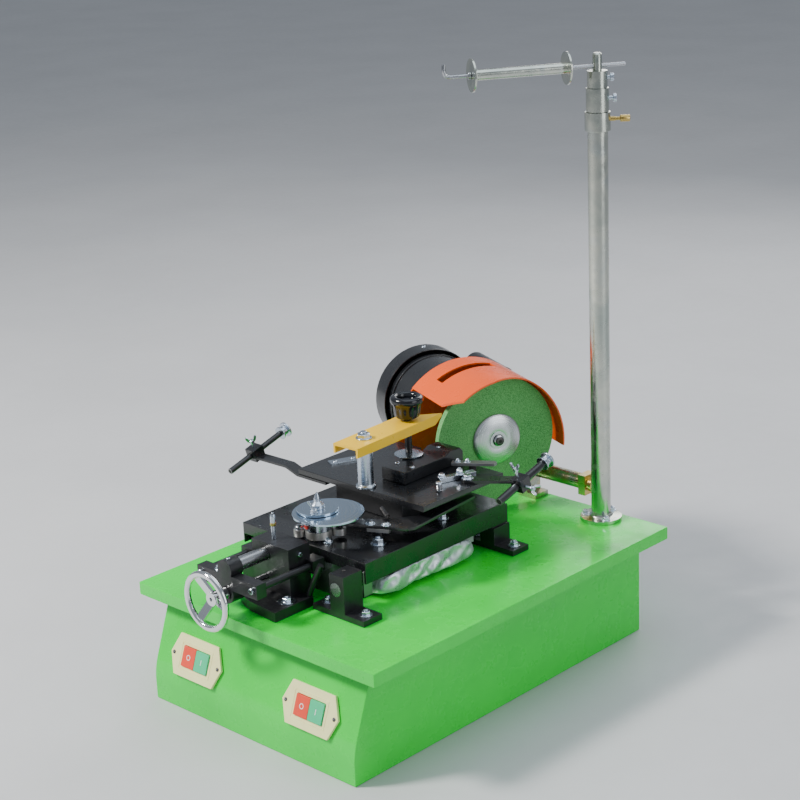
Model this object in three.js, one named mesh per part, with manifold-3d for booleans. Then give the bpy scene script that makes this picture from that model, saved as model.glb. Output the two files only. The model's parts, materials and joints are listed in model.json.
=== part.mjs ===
// Automatic band-saw blade grinder: a cabinet with a sliding vise table, a grinding head and a blade mast.
// Millimetres, +Z up. Origin: centre of the cabinet's underside.
// -Y is the switch side, +X the long open side.
import * as THREE from 'three';
import { mergeVertices } from 'three/addons/utils/BufferGeometryUtils.js';
import Module from 'manifold-3d';

const wasm = await Module();
wasm.setup();

// ---------- driving dimensions ----------
const GAP = 0.3; // play between touching pieces
const ROUND = 28; // sides of an ordinary round piece
const FINE = 56; // sides of a large round piece
const SMALL = 16; // sides of a small pin or stud
const DEG = Math.PI / 180;

const PLATE = { x: 216, y: 288, top: 154.5, sheet: 3, lip: 18 }; // half sizes of the cabinet's top plate
const CABINET = { x: 185.3, back: 264, frontTop: -263, frontFoot: -297.6, knee: 43.2, wall: 2 };
const SLOPE = Math.atan2(34.6, 93.1); // how far the switch face leans back from upright
const SWITCH = { z: 73, left: -107.5, right: 104.5, halfTop: 37, halfTip: 49, halfHeight: 27.5, thick: 4 };
const BUTTON = { w: 24, h: 26.5, gap: 0.5, proud: 2, travel: 3 };

const TABLE = { x0: -143, x1: 84.5, y0: -165, y1: 101.8, top: 217.5, sheet: 3, skirt: 28.4, lip: 16 };
const TABLE_MID = (TABLE.x0 + TABLE.x1) / 2;
const ROD = { r: 9, z: 192, offset: 99.25 }; // table guide rods, measured from the table's middle
const BRACKET = {
  footHalf: 45, footThick: 7.7, halfWidth: 12.5, depth: 32.5, top: 212, front: -204.5, back: 77,
};
const HIDDEN = { front: -155.5, x0: -138, x1: -96, uprightHalf: 11 }; // the left front bracket, under the table

const CAM = { x: -21, y: -142, r: 17.3, z0: 221, z1: 231 };
const ROLLER = { left: [-40.8, -157.7, 7.3], right: [-2.9, -122.4, 8.9] };
const ARM = { pivot: [40.3, -96], z0: 236.3, z1: 240.3 };

const SLIDE = { x: -39.5, quillZ: 218, screwZ: 187, railZ: 203.7, railLeft: -84.5, railRight: 11 };
const HANDWHEEL = { rim: 35.7, tube: 4.3, y: -320, hubFront: -313, hubBack: -289.5 };

const VISE = { x0: -149, x1: 83.5, y0: -55, y1: 101, y1Left: 108, split: -72, z0: 251, z1: 259 };
const JAW = { x0: -29.8, x1: 12.5, y0: -14.4, y1: 101, z1: 276.5, noseZ: 281 };
const POST = { x: -26, y: -48, r: 10.8 };
const CLAMP = { top: 326.4, sheet: 3, flange: 13, half: 21, back: -36.5, front: 134, turn: 3.5 * DEG };
const KNOB = { along: 89, r: 22.5, under: 4.6, height: 34.6 };

const HEAD = { at: [-10.8, 195.8, 259.8], turn: -21.9 * DEG };
const WHEEL = { r: 90, thick: 10, bore: 16 };
const MOTOR = { r: 69, front: -96, back: -213.7, noseR: 22, noseFront: -72 };
const FAN = { r: 75.8, front: -214, back: -252, sheet: 2.2 };
const GUARD = { r: 108.7, u: -8.2, z: -11.8, back: -90, sheet: 2.2, from: -6, to: 135.5 };
const PIVOT = { y: 276, z: 193, r: 11, x0: -62, x1: 100 };

const MAST = { x: 124.8, y: 257.3, r: 13.5, bore: 11, top: 696 };
const CROSS = { z: 780, turn: Math.atan2(0.843, 0.538), r: 2.6, near: 38, far: 186 };
const REEL = { near: 40, far: 169, tube: 7, bore: 3.2, disc: 21.5, discThick: 2.6 };

const SUPPORT = {
  tilt: 16.5 * DEG, left: [-244, -47, 259], leftR: 4.3, right: [125, 87.5, 258], rightR: 5.5,
  rightBolt: [68, 47],
};

// ---------- materials ----------
const finish = (color, roughness, metalness) =>
  new THREE.MeshStandardMaterial({ color, roughness, metalness });
const paint = (color, roughness = 0.45) => finish(color, roughness, 0.1);
const metal = (color, roughness = 0.35) => finish(color, roughness, 0.95);
const GREEN = 0x46e066;
const BLACK = 0x17181a;
const ZINC = 0xc3c6c8;
const ORANGE = 0xff6a2a;
const YELLOW = 0xf5c518;

// ---------- solids ----------
function solid(geometry) {
  const bare = geometry.clone();
  bare.deleteAttribute('normal');
  bare.deleteAttribute('uv');
  const merged = mergeVertices(bare, 1e-4);
  const vertProperties = new Float32Array(merged.attributes.position.array);
  const triVerts = new Uint32Array(merged.index.array);
  return new wasm.Manifold(new wasm.Mesh({ numProp: 3, vertProperties, triVerts }));
}

function geometryOf(manifold) {
  const mesh = manifold.getMesh();
  const geometry = new THREE.BufferGeometry();
  geometry.setAttribute('position', new THREE.BufferAttribute(new Float32Array(mesh.vertProperties), 3));
  geometry.setIndex(new THREE.BufferAttribute(new Uint32Array(mesh.triVerts), 1));
  geometry.computeVertexNormals();
  return geometry;
}

const join = (first, ...rest) => rest.reduce((sum, piece) => sum.add(piece), first);
const cut = (first, ...rest) => rest.reduce((left, piece) => left.subtract(piece), first);

function boxSolid(x0, x1, y0, y1, z0, z1) {
  const box = new THREE.BoxGeometry(x1 - x0, y1 - y0, z1 - z0);
  return solid(box.translate((x0 + x1) / 2, (y0 + y1) / 2, (z0 + z1) / 2));
}

// A round bar along X, Y or Z from one coordinate to another, centred on the two other coordinates.
function rod(axis, a, b, centre, r, sides = ROUND) {
  const bar = new THREE.CylinderGeometry(r, r, b - a, sides);
  if (axis === 'x') bar.rotateZ(-Math.PI / 2).translate((a + b) / 2, centre[0], centre[1]);
  if (axis === 'y') bar.translate(centre[0], (a + b) / 2, centre[1]);
  if (axis === 'z') bar.rotateX(Math.PI / 2).translate(centre[0], centre[1], (a + b) / 2);
  return solid(bar);
}

// A turned piece: [radius, height] pairs, starting and ending on the axis, or closing on themselves.
function turned(profile, sides = ROUND) {
  const points = profile.map(([r, h]) => new THREE.Vector2(r, h));
  return new THREE.LatheGeometry(points, sides);
}
const turnedZ = (profile, sides) => turned(profile, sides).rotateX(Math.PI / 2);
const turnedX = (profile, sides) => turned(profile, sides).rotateZ(-Math.PI / 2);
const turnedY = (profile, sides) => turned(profile, sides);

function outline(points) {
  return new THREE.Shape(points.map(([a, b]) => new THREE.Vector2(a, b)));
}
// A flat outline in X and Y, raised from z0 to z1.
function plateSolid(shape, z0, z1, curveSegments = 8) {
  const geometry = new THREE.ExtrudeGeometry(shape, { depth: z1 - z0, bevelEnabled: false, curveSegments });
  return solid(geometry.translate(0, 0, z0));
}
// An outline in Y and Z, pushed from x0 to x1.
function sideSolid(shape, x0, x1, curveSegments = 8) {
  const geometry = new THREE.ExtrudeGeometry(shape, { depth: x1 - x0, bevelEnabled: false, curveSegments });
  geometry.rotateZ(Math.PI / 2).rotateY(Math.PI / 2);
  return solid(geometry.translate(x0, 0, 0));
}
// An outline in X and Z, pushed from y0 to y1.
function frontSolid(shape, y0, y1, curveSegments = 8) {
  const geometry = new THREE.ExtrudeGeometry(shape, { depth: y1 - y0, bevelEnabled: false, curveSegments });
  return solid(geometry.rotateX(Math.PI / 2).translate(0, y1, 0));
}

// ---------- assembly ----------
const machine = new THREE.Group();

function part(name, shape, material, parent = machine) {
  const geometry = shape.isBufferGeometry ? shape : geometryOf(shape);
  const mesh = new THREE.Mesh(geometry, material);
  mesh.name = name;
  parent.add(mesh);
  return mesh;
}

function placed(position, rotation = [0, 0, 0], parent = machine) {
  const group = new THREE.Group();
  group.position.set(...position);
  group.rotation.set(...rotation);
  parent.add(group);
  return group;
}

// ---------- cabinet ----------
function cabinetOutline(inset, top) {
  const foot = CABINET.frontFoot + inset;
  const shape = new THREE.Shape();
  shape.moveTo(CABINET.back - inset, 0);
  shape.lineTo(CABINET.back - inset, top);
  shape.lineTo(CABINET.frontTop + inset, top);
  shape.lineTo(CABINET.frontTop + inset, 137);
  shape.lineTo(foot + 7, CABINET.knee + 18);
  shape.quadraticCurveTo(foot, CABINET.knee, foot, CABINET.knee - 18);
  shape.lineTo(foot, 0);
  return shape;
}

function switchFaceY(z) {
  return CABINET.frontTop - (136.3 - z) * Math.tan(SLOPE);
}

function cabinet() {
  const top = PLATE.top - PLATE.sheet - GAP;
  const wall = CABINET.wall;
  const outside = sideSolid(cabinetOutline(0, top), -CABINET.x, CABINET.x);
  const inside = sideSolid(cabinetOutline(wall, top - wall), -CABINET.x + wall, CABINET.x - wall);
  const way = boxSolid(-CABINET.x + wall, CABINET.x - wall, -295, 262, -1, 5);
  const openings = [SWITCH.left, SWITCH.right].map((x) => {
    const hole = new THREE.BoxGeometry(62, 30, 38).rotateX(-SLOPE);
    return solid(hole.translate(x, switchFaceY(SWITCH.z), SWITCH.z));
  });
  const glandHole = rod('y', 255, 270, [-120, 40], 8, SMALL);
  part('base_cabinet', cut(outside, inside, way, ...openings, glandHole), paint(GREEN, 0.35));

  const sheetInset = PLATE.sheet;
  const slab = boxSolid(-PLATE.x, PLATE.x, -PLATE.y, PLATE.y, PLATE.top - PLATE.lip, PLATE.top);
  const hollow = boxSolid(
    -PLATE.x + sheetInset, PLATE.x - sheetInset, -PLATE.y + sheetInset, PLATE.y - sheetInset,
    PLATE.top - PLATE.lip - 1, PLATE.top - sheetInset,
  );
  part('top_plate', cut(slab, hollow), paint(GREEN, 0.3));

  const floorInset = wall + GAP;
  const floorX = CABINET.x - floorInset;
  const floor = boxSolid(-floorX, floorX, -295 + GAP, CABINET.back - floorInset, 0, 3);
  part('bottom_plate', floor, metal(0x9a9ea2, 0.5));

  const gland = turnedY([
    [0, 256], [7.5, 256], [7.5, 264.3], [12, 264.3], [12, 270], [9, 282], [4, 282], [4, 258], [0, 258],
  ], SMALL);
  part('cable_gland', gland.translate(-120, 0, 40), paint(BLACK, 0.6));
}

function switchBlock(side, x) {
  const group = placed([x, switchFaceY(SWITCH.z), SWITCH.z], [-SLOPE, 0, 0]);
  const { halfTop, halfTip, halfHeight, thick } = SWITCH;
  const face = outline([
    [-halfTop, halfHeight], [-halfTip, 0], [-halfTop, -halfHeight],
    [halfTop, -halfHeight], [halfTip, 0], [halfTop, halfHeight],
  ]);
  const plate = frontSolid(face, -thick - GAP, -GAP);
  const housing = boxSolid(-30, 30, -GAP - 1, 28, -18, 18);
  const pocketW = BUTTON.w + BUTTON.gap * 1.5;
  const pocket = boxSolid(-pocketW, pocketW, -10, 12, -BUTTON.h / 2 - BUTTON.gap, BUTTON.h / 2 + BUTTON.gap);
  part(`switch_${side}`, cut(join(plate, housing), pocket), paint(0xf8f6c8, 0.5), group);
  const names = { stop: [-1, 0xf04a34], start: [1, 0x2fc98a] };
  for (const [name, [sign, color]] of Object.entries(names)) {
    const middle = sign * (BUTTON.w + BUTTON.gap) / 2;
    const cap = new THREE.BoxGeometry(BUTTON.w, 12, BUTTON.h).translate(middle, 0, 0);
    cap.translate(0, 6 - thick - GAP - BUTTON.proud, 0);
    part(`${name}_button_${side}`, cap, paint(color, 0.35), group);
  }
}

// ---------- table guides ----------
function tableBracket(name, side, y0, relieved) {
  const { footHalf, footThick, halfWidth, depth, top } = BRACKET;
  const x = TABLE_MID + side * (ROD.offset + 2.5);
  const z0 = PLATE.top + GAP;
  const foot = boxSolid(x - footHalf, x + footHalf, y0, y0 + depth, z0, z0 + footThick);
  const upright = boxSolid(x - halfWidth, x + halfWidth, y0, y0 + depth, z0, top);
  const bore = rod('y', y0 - 1, y0 + depth + 1, [TABLE_MID + side * ROD.offset, ROD.z], ROD.r + GAP);
  const outer = TABLE_MID + side * 119.7;
  const inner = TABLE_MID + side * 110.7;
  const skirtWay = boxSolid(Math.min(inner, outer), Math.max(inner, outer), y0 - 1, y0 + depth + 1, 186, 220);
  const bracket = cut(join(foot, upright), bore);
  part(name, relieved ? cut(bracket, skirtWay) : bracket, paint(BLACK));
}

function hiddenBracket(x) {
  const { front, x0, x1, uprightHalf } = HIDDEN;
  const z0 = PLATE.top + GAP;
  const back = front + BRACKET.depth;
  const foot = boxSolid(x0, x1, front, back, z0, z0 + BRACKET.footThick);
  const upright = boxSolid(x - uprightHalf, x + uprightHalf, front, back, z0, BRACKET.top);
  const seat = boxSolid(x - uprightHalf, x + 13, front, back, z0, 206);
  const bore = rod('y', front - 1, back + 1, [x, ROD.z], ROD.r + GAP);
  part('bracket_front_left', cut(join(foot, upright, seat), bore), paint(BLACK));
}

function tableGuides() {
  for (const [label, side] of [['left', -1], ['right', 1]]) {
    const x = TABLE_MID + side * ROD.offset;
    const front = side < 0 ? HIDDEN.front : BRACKET.front;
    if (side < 0) hiddenBracket(x);
    else tableBracket(`bracket_front_${label}`, side, front, false);
    tableBracket(`bracket_back_${label}`, side, BRACKET.back, true);
    const bar = rod('y', front, BRACKET.back + BRACKET.depth, [x, ROD.z], ROD.r);
    part(`guide_rod_${label}`, bar, metal(0xd0d2d4, 0.25));
  }
}

// ---------- table and what it carries ----------
function table() {
  const { x0, x1, y0, y1, top, sheet, skirt, lip } = TABLE;
  const block = boxSolid(x0, x1, y0, y1, top - skirt, top);
  const under = boxSolid(x0 + 2.5, x1 - 2.5, y0 - 1, y1 + 1, top - skirt - 1, top - lip);
  const hollow = boxSolid(x0 + 2.5, x1 - 2.5, y0 + 2.5, y1 + 1, top - skirt - 1, top - sheet);
  const camHole = rod('z', 205, 225, [CAM.x, CAM.y], 7.5, SMALL);
  part('table_plate', cut(block, under, hollow, camHole), paint(BLACK, 0.3));

  for (const [label, side] of [['left', -1], ['right', 1]]) {
    const x = TABLE_MID + side * ROD.offset;
    const housing = boxSolid(x - 11.5, x + 11.5, -110, 40, 180, top - sheet - GAP);
    const bore = rod('y', -111, 41, [x, ROD.z], ROD.r + GAP);
    part(`slide_bearing_${label}`, cut(housing, bore), metal(0x8d9194, 0.5));
  }

  const upper = boxSolid(-60, 20, -160, -62, 182, top - sheet - GAP);
  const lower = boxSolid(-60, 20, -126, -62, 165, 183);
  const motor = rod('y', -63, 20, [-20, 189], 22);
  part('feed_gearmotor', join(upper, lower, motor), metal(0x9ea2a5, 0.5));
  dustCover();
}

// The cloth cover under the table, a trough with its rim against the table's right skirt.
function dustCover() {
  const rim = TABLE.top - TABLE.skirt - GAP;
  const outside = outline([
    [-72, 208], [-72, 165], [-60, 157.5], [70, 157.5], [87, 166], [88, 178], [85, rim], [82, rim], [-69, 208],
  ]);
  const inside = outline([
    [-69, 230], [-69, 167], [-58, 160.5], [68, 160.5], [84, 168], [85, 178], [82, rim + 0.01], [82, 230],
  ]);
  const body = frontSolid(outside, -133, 40);
  const hollow = frontSolid(inside, -130, 37);
  const rodWay = boxSolid(-100, 84, -140, 50, 179, 230);
  const wallKeep = boxSolid(-73, -69, -133, 40, 157, 208);
  part('dust_cover', join(cut(body, hollow, rodWay), wallKeep.intersect(body)), paint(0xd9dde2, 0.3));
}

// ---------- cam set ----------
function camSet() {
  const hub = [
    [0, 214.5], [6.5, 214.5], [6.5, 219], [9, 219], [9, 231.3], [17, 231.3], [17, 252.8], [9, 252.8],
    [9, 256.4], [6, 256.4], [6, 260.4], [9, 260.4], [9, 265], [2, 271], [0, 271],
  ];
  const at = [CAM.x, CAM.y, 0];
  part('cam_shaft', turnedZ(hub).translate(...at), metal(ZINC));
  const ring = turnedZ([[9.3, CAM.z0], [CAM.r, CAM.z0], [CAM.r, CAM.z1], [9.3, CAM.z1], [9.3, CAM.z0]], 40);
  part('cam_ring', ring.translate(...at), metal(0xb9bcbe, 0.25));
  const disc = rod('z', 253.1, 256.1, [-8.2, -135.8], 46.5, FINE);
  const large = cut(disc, rod('z', 250, 260, [CAM.x, CAM.y], 9.3));
  part('cam_disc_large', large, metal(ZINC, 0.3));
  const small = turnedZ([[6.3, 256.7], [27.3, 256.7], [27.3, 260.1], [6.3, 260.1], [6.3, 256.7]], 48);
  part('cam_disc_small', small.translate(...at), metal(ZINC, 0.3));
}

// ---------- feed arm ----------
function feedArm() {
  const [px, py] = ARM.pivot;
  const [rx, ry] = ROLLER.right;
  const plan = outline([
    [rx - 6, ry - 3], [rx + 1, ry - 7], [84, -89], [90, -78], [77, 50], [67, 52], [64, -48], [42, -80],
    [rx - 4, ry + 6],
  ]);
  const blade = plateSolid(plan, ARM.z0, ARM.z1);
  const boss = rod('z', TABLE.top + GAP, ARM.z0 + 1, [px, py], 8, SMALL);
  const pin = rod('z', CAM.z0 - 1, ARM.z1, [rx, ry], 3, SMALL);
  const shoulder = rod('z', CAM.z1 + 0.5, ARM.z1, [rx, ry], 5, SMALL);
  part('feed_arm', join(blade, boss, pin, shoulder), paint(BLACK));
  const r = ROLLER.right[2];
  const low = CAM.z0 + 1;
  const roller = turnedZ([[3.3, low], [r, low], [r, CAM.z1], [3.3, CAM.z1], [3.3, low]], 28);
  part('feed_arm_roller', roller.translate(rx, ry, 0), metal(0xb9bcbe, 0.25));
}

// ---------- infeed slide ----------
function slideBase() {
  const { x, quillZ, screwZ, railZ, railLeft, railRight } = SLIDE;
  const z0 = PLATE.top + GAP;
  const foot = new THREE.Shape();
  foot.moveTo(21, -197);
  foot.lineTo(21, -263);
  foot.lineTo(-30, -258);
  foot.quadraticCurveTo(-58, -252, -84, -230);
  foot.lineTo(-84, -197);
  const pad = plateSolid(foot, z0, z0 + 13);
  const tower = boxSolid(-63, 5, -220, -184, z0, 233);
  const lobe = boxSolid(-94, -62, -212, -184, 164, 212);
  const lug = boxSolid(-2, 19, -192, -172, 195, 212);
  const stud = rod('z', 232, 268, [-38, -204], 2.8, SMALL);
  const bores = [
    rod('y', -230, -170, [x, quillZ], 9.3),
    rod('y', -230, -170, [x, screwZ], 4.3, SMALL),
    rod('y', -230, -170, [railLeft, railZ], 5.3, SMALL),
    rod('y', -230, -170, [railRight, railZ], 5.3, SMALL),
  ];
  part('slide_base', cut(join(pad, tower, lobe, lug, stud), ...bores), paint(BLACK, 0.5));
}

function infeedSlide() {
  const { x, quillZ, screwZ, railZ, railLeft, railRight } = SLIDE;
  const [rx, ry, rr] = ROLLER.left;
  const bar = boxSolid(-92, 19, -288, -272, 193, 212);
  const screwBoss = rod('y', -288, -268, [x, screwZ], 14);
  const quillBoss = rod('y', -288, -268, [x, quillZ], 13);
  const rails = [railLeft, railRight].map((railX) => rod('y', -275, -169, [railX, railZ], 5, SMALL));
  const screwWay = rod('y', -300, -260, [x, screwZ], 4.3, SMALL);
  const quillWay = rod('y', -280, -260, [x, quillZ], 9.3);
  part('slide_yoke', cut(join(bar, screwBoss, quillBoss, ...rails), screwWay, quillWay), paint(BLACK, 0.5));

  const barrel = rod('y', -279.5, -181, [x, quillZ], 9);
  const tongue = boxSolid(rx - 6.5, rx + 6.5, -187, ry + 5, 218.3, 220.5);
  const pin = rod('z', 220, 233, [rx, ry], 3, SMALL);
  part('quill', join(barrel, tongue, pin), metal(0x8f9499, 0.25));
  const roller = turnedZ([[3.3, 221.5], [rr, 221.5], [rr, 231], [3.3, 231], [3.3, 221.5]], 24);
  part('follower_roller', roller.translate(rx, ry, 0), metal(0xb9bcbe, 0.25));

  part('feed_screw', rod('y', HANDWHEEL.hubFront + 3, -190, [x, screwZ], 4, SMALL), metal(0xa9adb0, 0.3));
  handwheel(x, screwZ);
}

function handwheel(x, z) {
  const { rim, tube, y, hubFront, hubBack } = HANDWHEEL;
  const ring = solid(new THREE.TorusGeometry(rim, tube, 10, 40).rotateX(Math.PI / 2));
  const hub = cut(
    rod('y', hubFront - y, hubBack - y, [0, 0], 9, 24),
    rod('y', hubFront - y + 2.7, 40, [0, 0], 4.3, SMALL),
    rod('y', hubFront - y - 1, hubFront - y + 3, [0, 0], 2.6, SMALL),
  );
  const spokes = [0, 1, 2].map((n) => {
    const dish = Math.atan2(9, rim - 8);
    const spoke = new THREE.BoxGeometry(11.5, 4.5, rim - 5).translate(0, 0, (rim - 5) / 2 + 6);
    return solid(spoke.rotateX(dish).translate(0, 13, 0).rotateY(90 * DEG + n * 120 * DEG));
  });
  part('handwheel', join(ring, hub, ...spokes), metal(0xdfe2e5, 0.12), placed([x, y, z]));
}

// ---------- vise ----------
function vise() {
  const { x0, x1, y0, y1, y1Left, split, z0, z1 } = VISE;
  const plan = outline([[x0, y0], [x1, y0], [x1, y1], [split, y1], [split, y1Left], [x0, y1Left]]);
  part('vise_plate', plateSolid(plan, z0, z1), paint(BLACK, 0.3));
  part('vise_base', boxSolid(-95, 28, -38, 70, TABLE.top + GAP, z0 - GAP), paint(BLACK, 0.6));

  const profile = outline([
    [JAW.y0, z1 + 0.5], [JAW.y1, z1 + 0.5], [JAW.y1, JAW.noseZ - 6], [JAW.y1 - 6, JAW.noseZ],
    [JAW.y1 - 26, JAW.noseZ], [JAW.y1 - 36, JAW.z1], [JAW.y0, JAW.z1],
  ]);
  part('jaw_block', sideSolid(profile, JAW.x0, JAW.x1), paint(BLACK, 0.35));

  const clampUnder = CLAMP.top - CLAMP.sheet;
  const post = [
    [0, z1 + GAP], [13.5, z1 + GAP], [13.5, z1 + 3], [POST.r, z1 + 5], [POST.r, clampUnder - GAP],
    [5, clampUnder - GAP], [5, CLAMP.top + 7], [0, CLAMP.top + 7],
  ];
  part('clamp_post', turnedZ(post).translate(POST.x, POST.y, 0), metal(ZINC));

  const finger = boxSolid(-27, 27, -5, 5, z1 + GAP, z1 + 7);
  const fingerGroup = placed([50, 45, 0], [0, 0, 70 * DEG]);
  part('tooth_finger', finger, metal(ZINC), fingerGroup);
}

function clamp() {
  const group = placed([POST.x, POST.y, 0], [0, 0, CLAMP.turn]);
  const { top, sheet, flange, half, back, front } = CLAMP;
  const plan = outline([
    [-half, back], [half, back], [half, front + 2], [-half, front - 42],
  ]);
  const web = plateSolid(plan, top - flange, top);
  const hollow = boxSolid(-half + sheet, half - sheet, back - 1, front + 20, top - flange - 1, top - sheet);
  const taper = sideSolid(outline([
    [front + 3, top - sheet], [front + 3, top - flange - 1], [front - 14, top - flange - 1],
  ]), -half - 1, half + 1);
  const holes = [rod('z', 300, 340, [0, 0], 5.3, SMALL), rod('z', 300, 340, [0, KNOB.along], 5.3, SMALL)];
  part('clamp_arm', cut(web, hollow, taper, ...holes), paint(YELLOW, 0.4), group);

  const { r, under, height } = KNOB;
  const low = top + under;
  const high = top + height;
  const body = turnedZ([
    [0, 281], [5, 281], [5, low], [15, low], [17, low + 9], [r - 1.5, high - 14], [r, high - 10],
    [r, high - 3], [r - 4, high], [r - 9, high], [r - 12, high - 7], [0, high - 7],
  ], 40);
  part('clamp_knob', body.translate(0, KNOB.along, 0), paint(BLACK, 0.25), group);
  const pad = turnedZ([
    [0, JAW.z1 + 0.4], [19, JAW.z1 + 0.4], [20, JAW.z1 + 2.4], [12, JAW.z1 + 4.1], [0, JAW.z1 + 4.1],
  ], 40);
  part('clamp_pad', pad.translate(0, KNOB.along, 0), metal(ZINC), group);
}

// ---------- blade supports ----------
// The supports' rods lean: their local Y runs along the rod, rising towards the back.
function support(side, at, r, reach) {
  const group = placed(at, [SUPPORT.tilt, 0, 0]);
  part(`support_rod_${side}`, rod('y', -reach, reach, [0, 0], r, SMALL), paint(BLACK, 0.4), group);
  const stem = reach + GAP;
  const wheel = turnedY([
    [2.3, stem], [9.5, stem], [9.5, stem + 2], [7, stem + 3], [7, stem + 9], [11, stem + 10], [11, stem + 12.5],
    [2.3, stem + 12.5], [2.3, stem],
  ], 24);
  part(`support_roller_${side}`, wheel, metal(ZINC), group);
}

// An arm with a clamp block at its end, bored along the leaning rod.
function supportArm(side, arm, at, r) {
  const matrix = new THREE.Matrix4().makeRotationX(SUPPORT.tilt).setPosition(...at);
  const leaning = (shape) => solid(geometryOf(shape).applyMatrix4(matrix));
  const block = leaning(boxSolid(-9, 9, -9, 9, -9, 9));
  const bore = leaning(rod('y', -20, 20, [0, 0], r + GAP, SMALL));
  part(`support_arm_${side}`, cut(join(arm, block), bore), paint(BLACK, 0.35));
}

function supports() {
  const { left, leftR, right, rightR, rightBolt } = SUPPORT;
  const bend = [[-240, left[2] - 2], [-174, left[2] - 1], [-151, 250.7], [-95.3, 250.7]];
  supportArm('left', sideStrip(bend, -56, -38, 3.5), left, leftR);
  support('left', left, leftR, 50);

  const [rx, ry] = right;
  const [boltX, boltY] = rightBolt;
  const across = Math.atan2(ry - boltY, rx - 4 - boltX) + Math.PI / 2;
  const lug = new THREE.Shape();
  lug.absarc(boltX, boltY, 9, across, across + Math.PI, false);
  lug.absarc(rx - 4, ry, 9, across + Math.PI, across + 2 * Math.PI, false);
  supportArm('right', plateSolid(lug, VISE.z1 + GAP, VISE.z1 + 4.5), right, rightR);
  support('right', right, rightR, 46);
}

// A strip bent along a path in X and Z, with its top on the path.
function sideStrip(path, y0, y1, thick) {
  const below = path.slice().reverse().map(([x, z]) => [x, z - thick]);
  return frontSolid(outline([...path, ...below]), y0, y1);
}

// ---------- grinding head ----------
function head() {
  const group = placed(HEAD.at, [0, 0, HEAD.turn]);
  const wheelBack = -WHEEL.thick;
  part('grinding_wheel', turnedX([
    [WHEEL.bore, wheelBack], [WHEEL.r, wheelBack], [WHEEL.r, 0], [WHEEL.bore, 0], [WHEEL.bore, wheelBack],
  ], FINE), paint(0x4f9a55, 0.95), group);
  part('arbor', turnedX([
    [0, -150], [12, -150], [12, -20], [36, -16], [36, wheelBack - GAP], [WHEEL.bore - GAP, wheelBack - GAP],
    [WHEEL.bore - GAP, -0.5], [8, -0.5], [8, 9], [4, 11], [0, 11],
  ]), metal(0xa6aaad, 0.3), group);
  part('wheel_flange', turnedX([
    [8.3, GAP], [36.5, GAP], [36.5, 2], [33, 4.5], [20, 7], [14, 6], [8.3, 5], [8.3, GAP],
  ], 40), metal(0xc9ccce, 0.3), group);

  const { r, front, back, noseR, noseFront } = MOTOR;
  const body = cut(
    solid(turnedX([
      [0, back], [r, back], [r, front - 8], [r - 8, front], [noseR, front], [noseR, noseFront], [0, noseFront],
    ], 48)),
    rod('x', -152, noseFront + 1, [0, 0], 12.3),
  );
  const capacitor = rod('x', -190, front - 4, [64, 50], 18, 28);
  const strap = boxSolid(-150, -130, 40, 66, 20, 50);
  part('motor_body', join(body, capacitor, strap), paint(BLACK, 0.4), group);

  const cap = turnedX([
    [0, FAN.back], [FAN.r - 5, FAN.back], [FAN.r, FAN.back + 6], [FAN.r, FAN.front], [FAN.r - FAN.sheet, FAN.front],
    [FAN.r - FAN.sheet, FAN.back + 7], [FAN.r - 7, FAN.back + FAN.sheet], [0, FAN.back + FAN.sheet],
  ], 48);
  part('fan_cover', cap, paint(BLACK, 0.35), group);
  guard(group);
  motorMount();
}

// The guard: a rolled band over the wheel, welded to a back plate that bolts to the motor.
function guard(group) {
  const { r, u, z, back, sheet, from, to } = GUARD;
  const deepest = 41;
  const sector = (radius, extra) => {
    const shape = new THREE.Shape();
    shape.absarc(u, z, radius, (from - extra) * DEG, (to + extra) * DEG, false);
    return shape;
  };
  const ring = sector(r, 0);
  ring.absarc(u, z, r - sheet, to * DEG, from * DEG, true);
  ring.closePath();
  const band = sideSolid(ring, back, deepest, 36);
  const trim = outline([
    [15, 150], [15, 45], [36, -20], [41, -68], [1.5, -85.7], [1.5, -130], [80, -130], [80, 150],
  ]);
  const frontTrim = plateSolid(trim, -80, 140);
  const plateShape = new THREE.Shape();
  plateShape.absarc(u, z, r - sheet / 2, -30 * DEG, 200 * DEG, false);
  plateShape.lineTo(-70, -52);
  plateShape.lineTo(60, -62);
  const backPlate = sideSolid(plateShape, back, back + sheet, 36);
  const noseWay = rod('x', back - 5, back + 10, [0, 0], MOTOR.noseR + GAP);
  const rayTo = (angle, reach) => [u + reach * Math.cos(angle * DEG), z + reach * Math.sin(angle * DEG)];
  const slotAngles = [74, 85, 97, 108, 120];
  const slotOuter = slotAngles.map((angle) => rayTo(angle, r + 9));
  const slotInner = slotAngles.reverse().map((angle) => rayTo(angle, r - 9));
  const slotted = cut(band, frontTrim, sideSolid(outline([...slotOuter, ...slotInner]), -56, -38));
  part('wheel_guard', cut(join(slotted, backPlate), noseWay), paint(ORANGE, 0.35), group);
}

// The head's foot: a saddle under the motor, an arm forward and a sleeve on the pivot shaft.
function motorMount() {
  const matrix = new THREE.Matrix4().makeRotationZ(HEAD.turn).setPosition(...HEAD.at);
  const plan = outline([
    [-205, -42], [-110, -42], [-110, 30], [-74, 44], [-60, 66], [-74, 84], [-110, 60], [-205, 60],
  ]);
  const plate = plateSolid(plan, -78, -72);
  const saddle = cut(boxSolid(-190, -120, -38, 38, -73, -50), rod('x', -220, -90, [0, 0], MOTOR.r + GAP, 48));
  const foot = solid(geometryOf(join(plate, saddle)).applyMatrix4(matrix));
  const sleeve = rod('x', -60, -24, [PIVOT.y, PIVOT.z], 17);
  const bore = rod('x', -70, -10, [PIVOT.y, PIVOT.z], PIVOT.r + GAP);
  part('motor_mount', cut(join(foot, sleeve), bore), paint(BLACK, 0.45));
}

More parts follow.
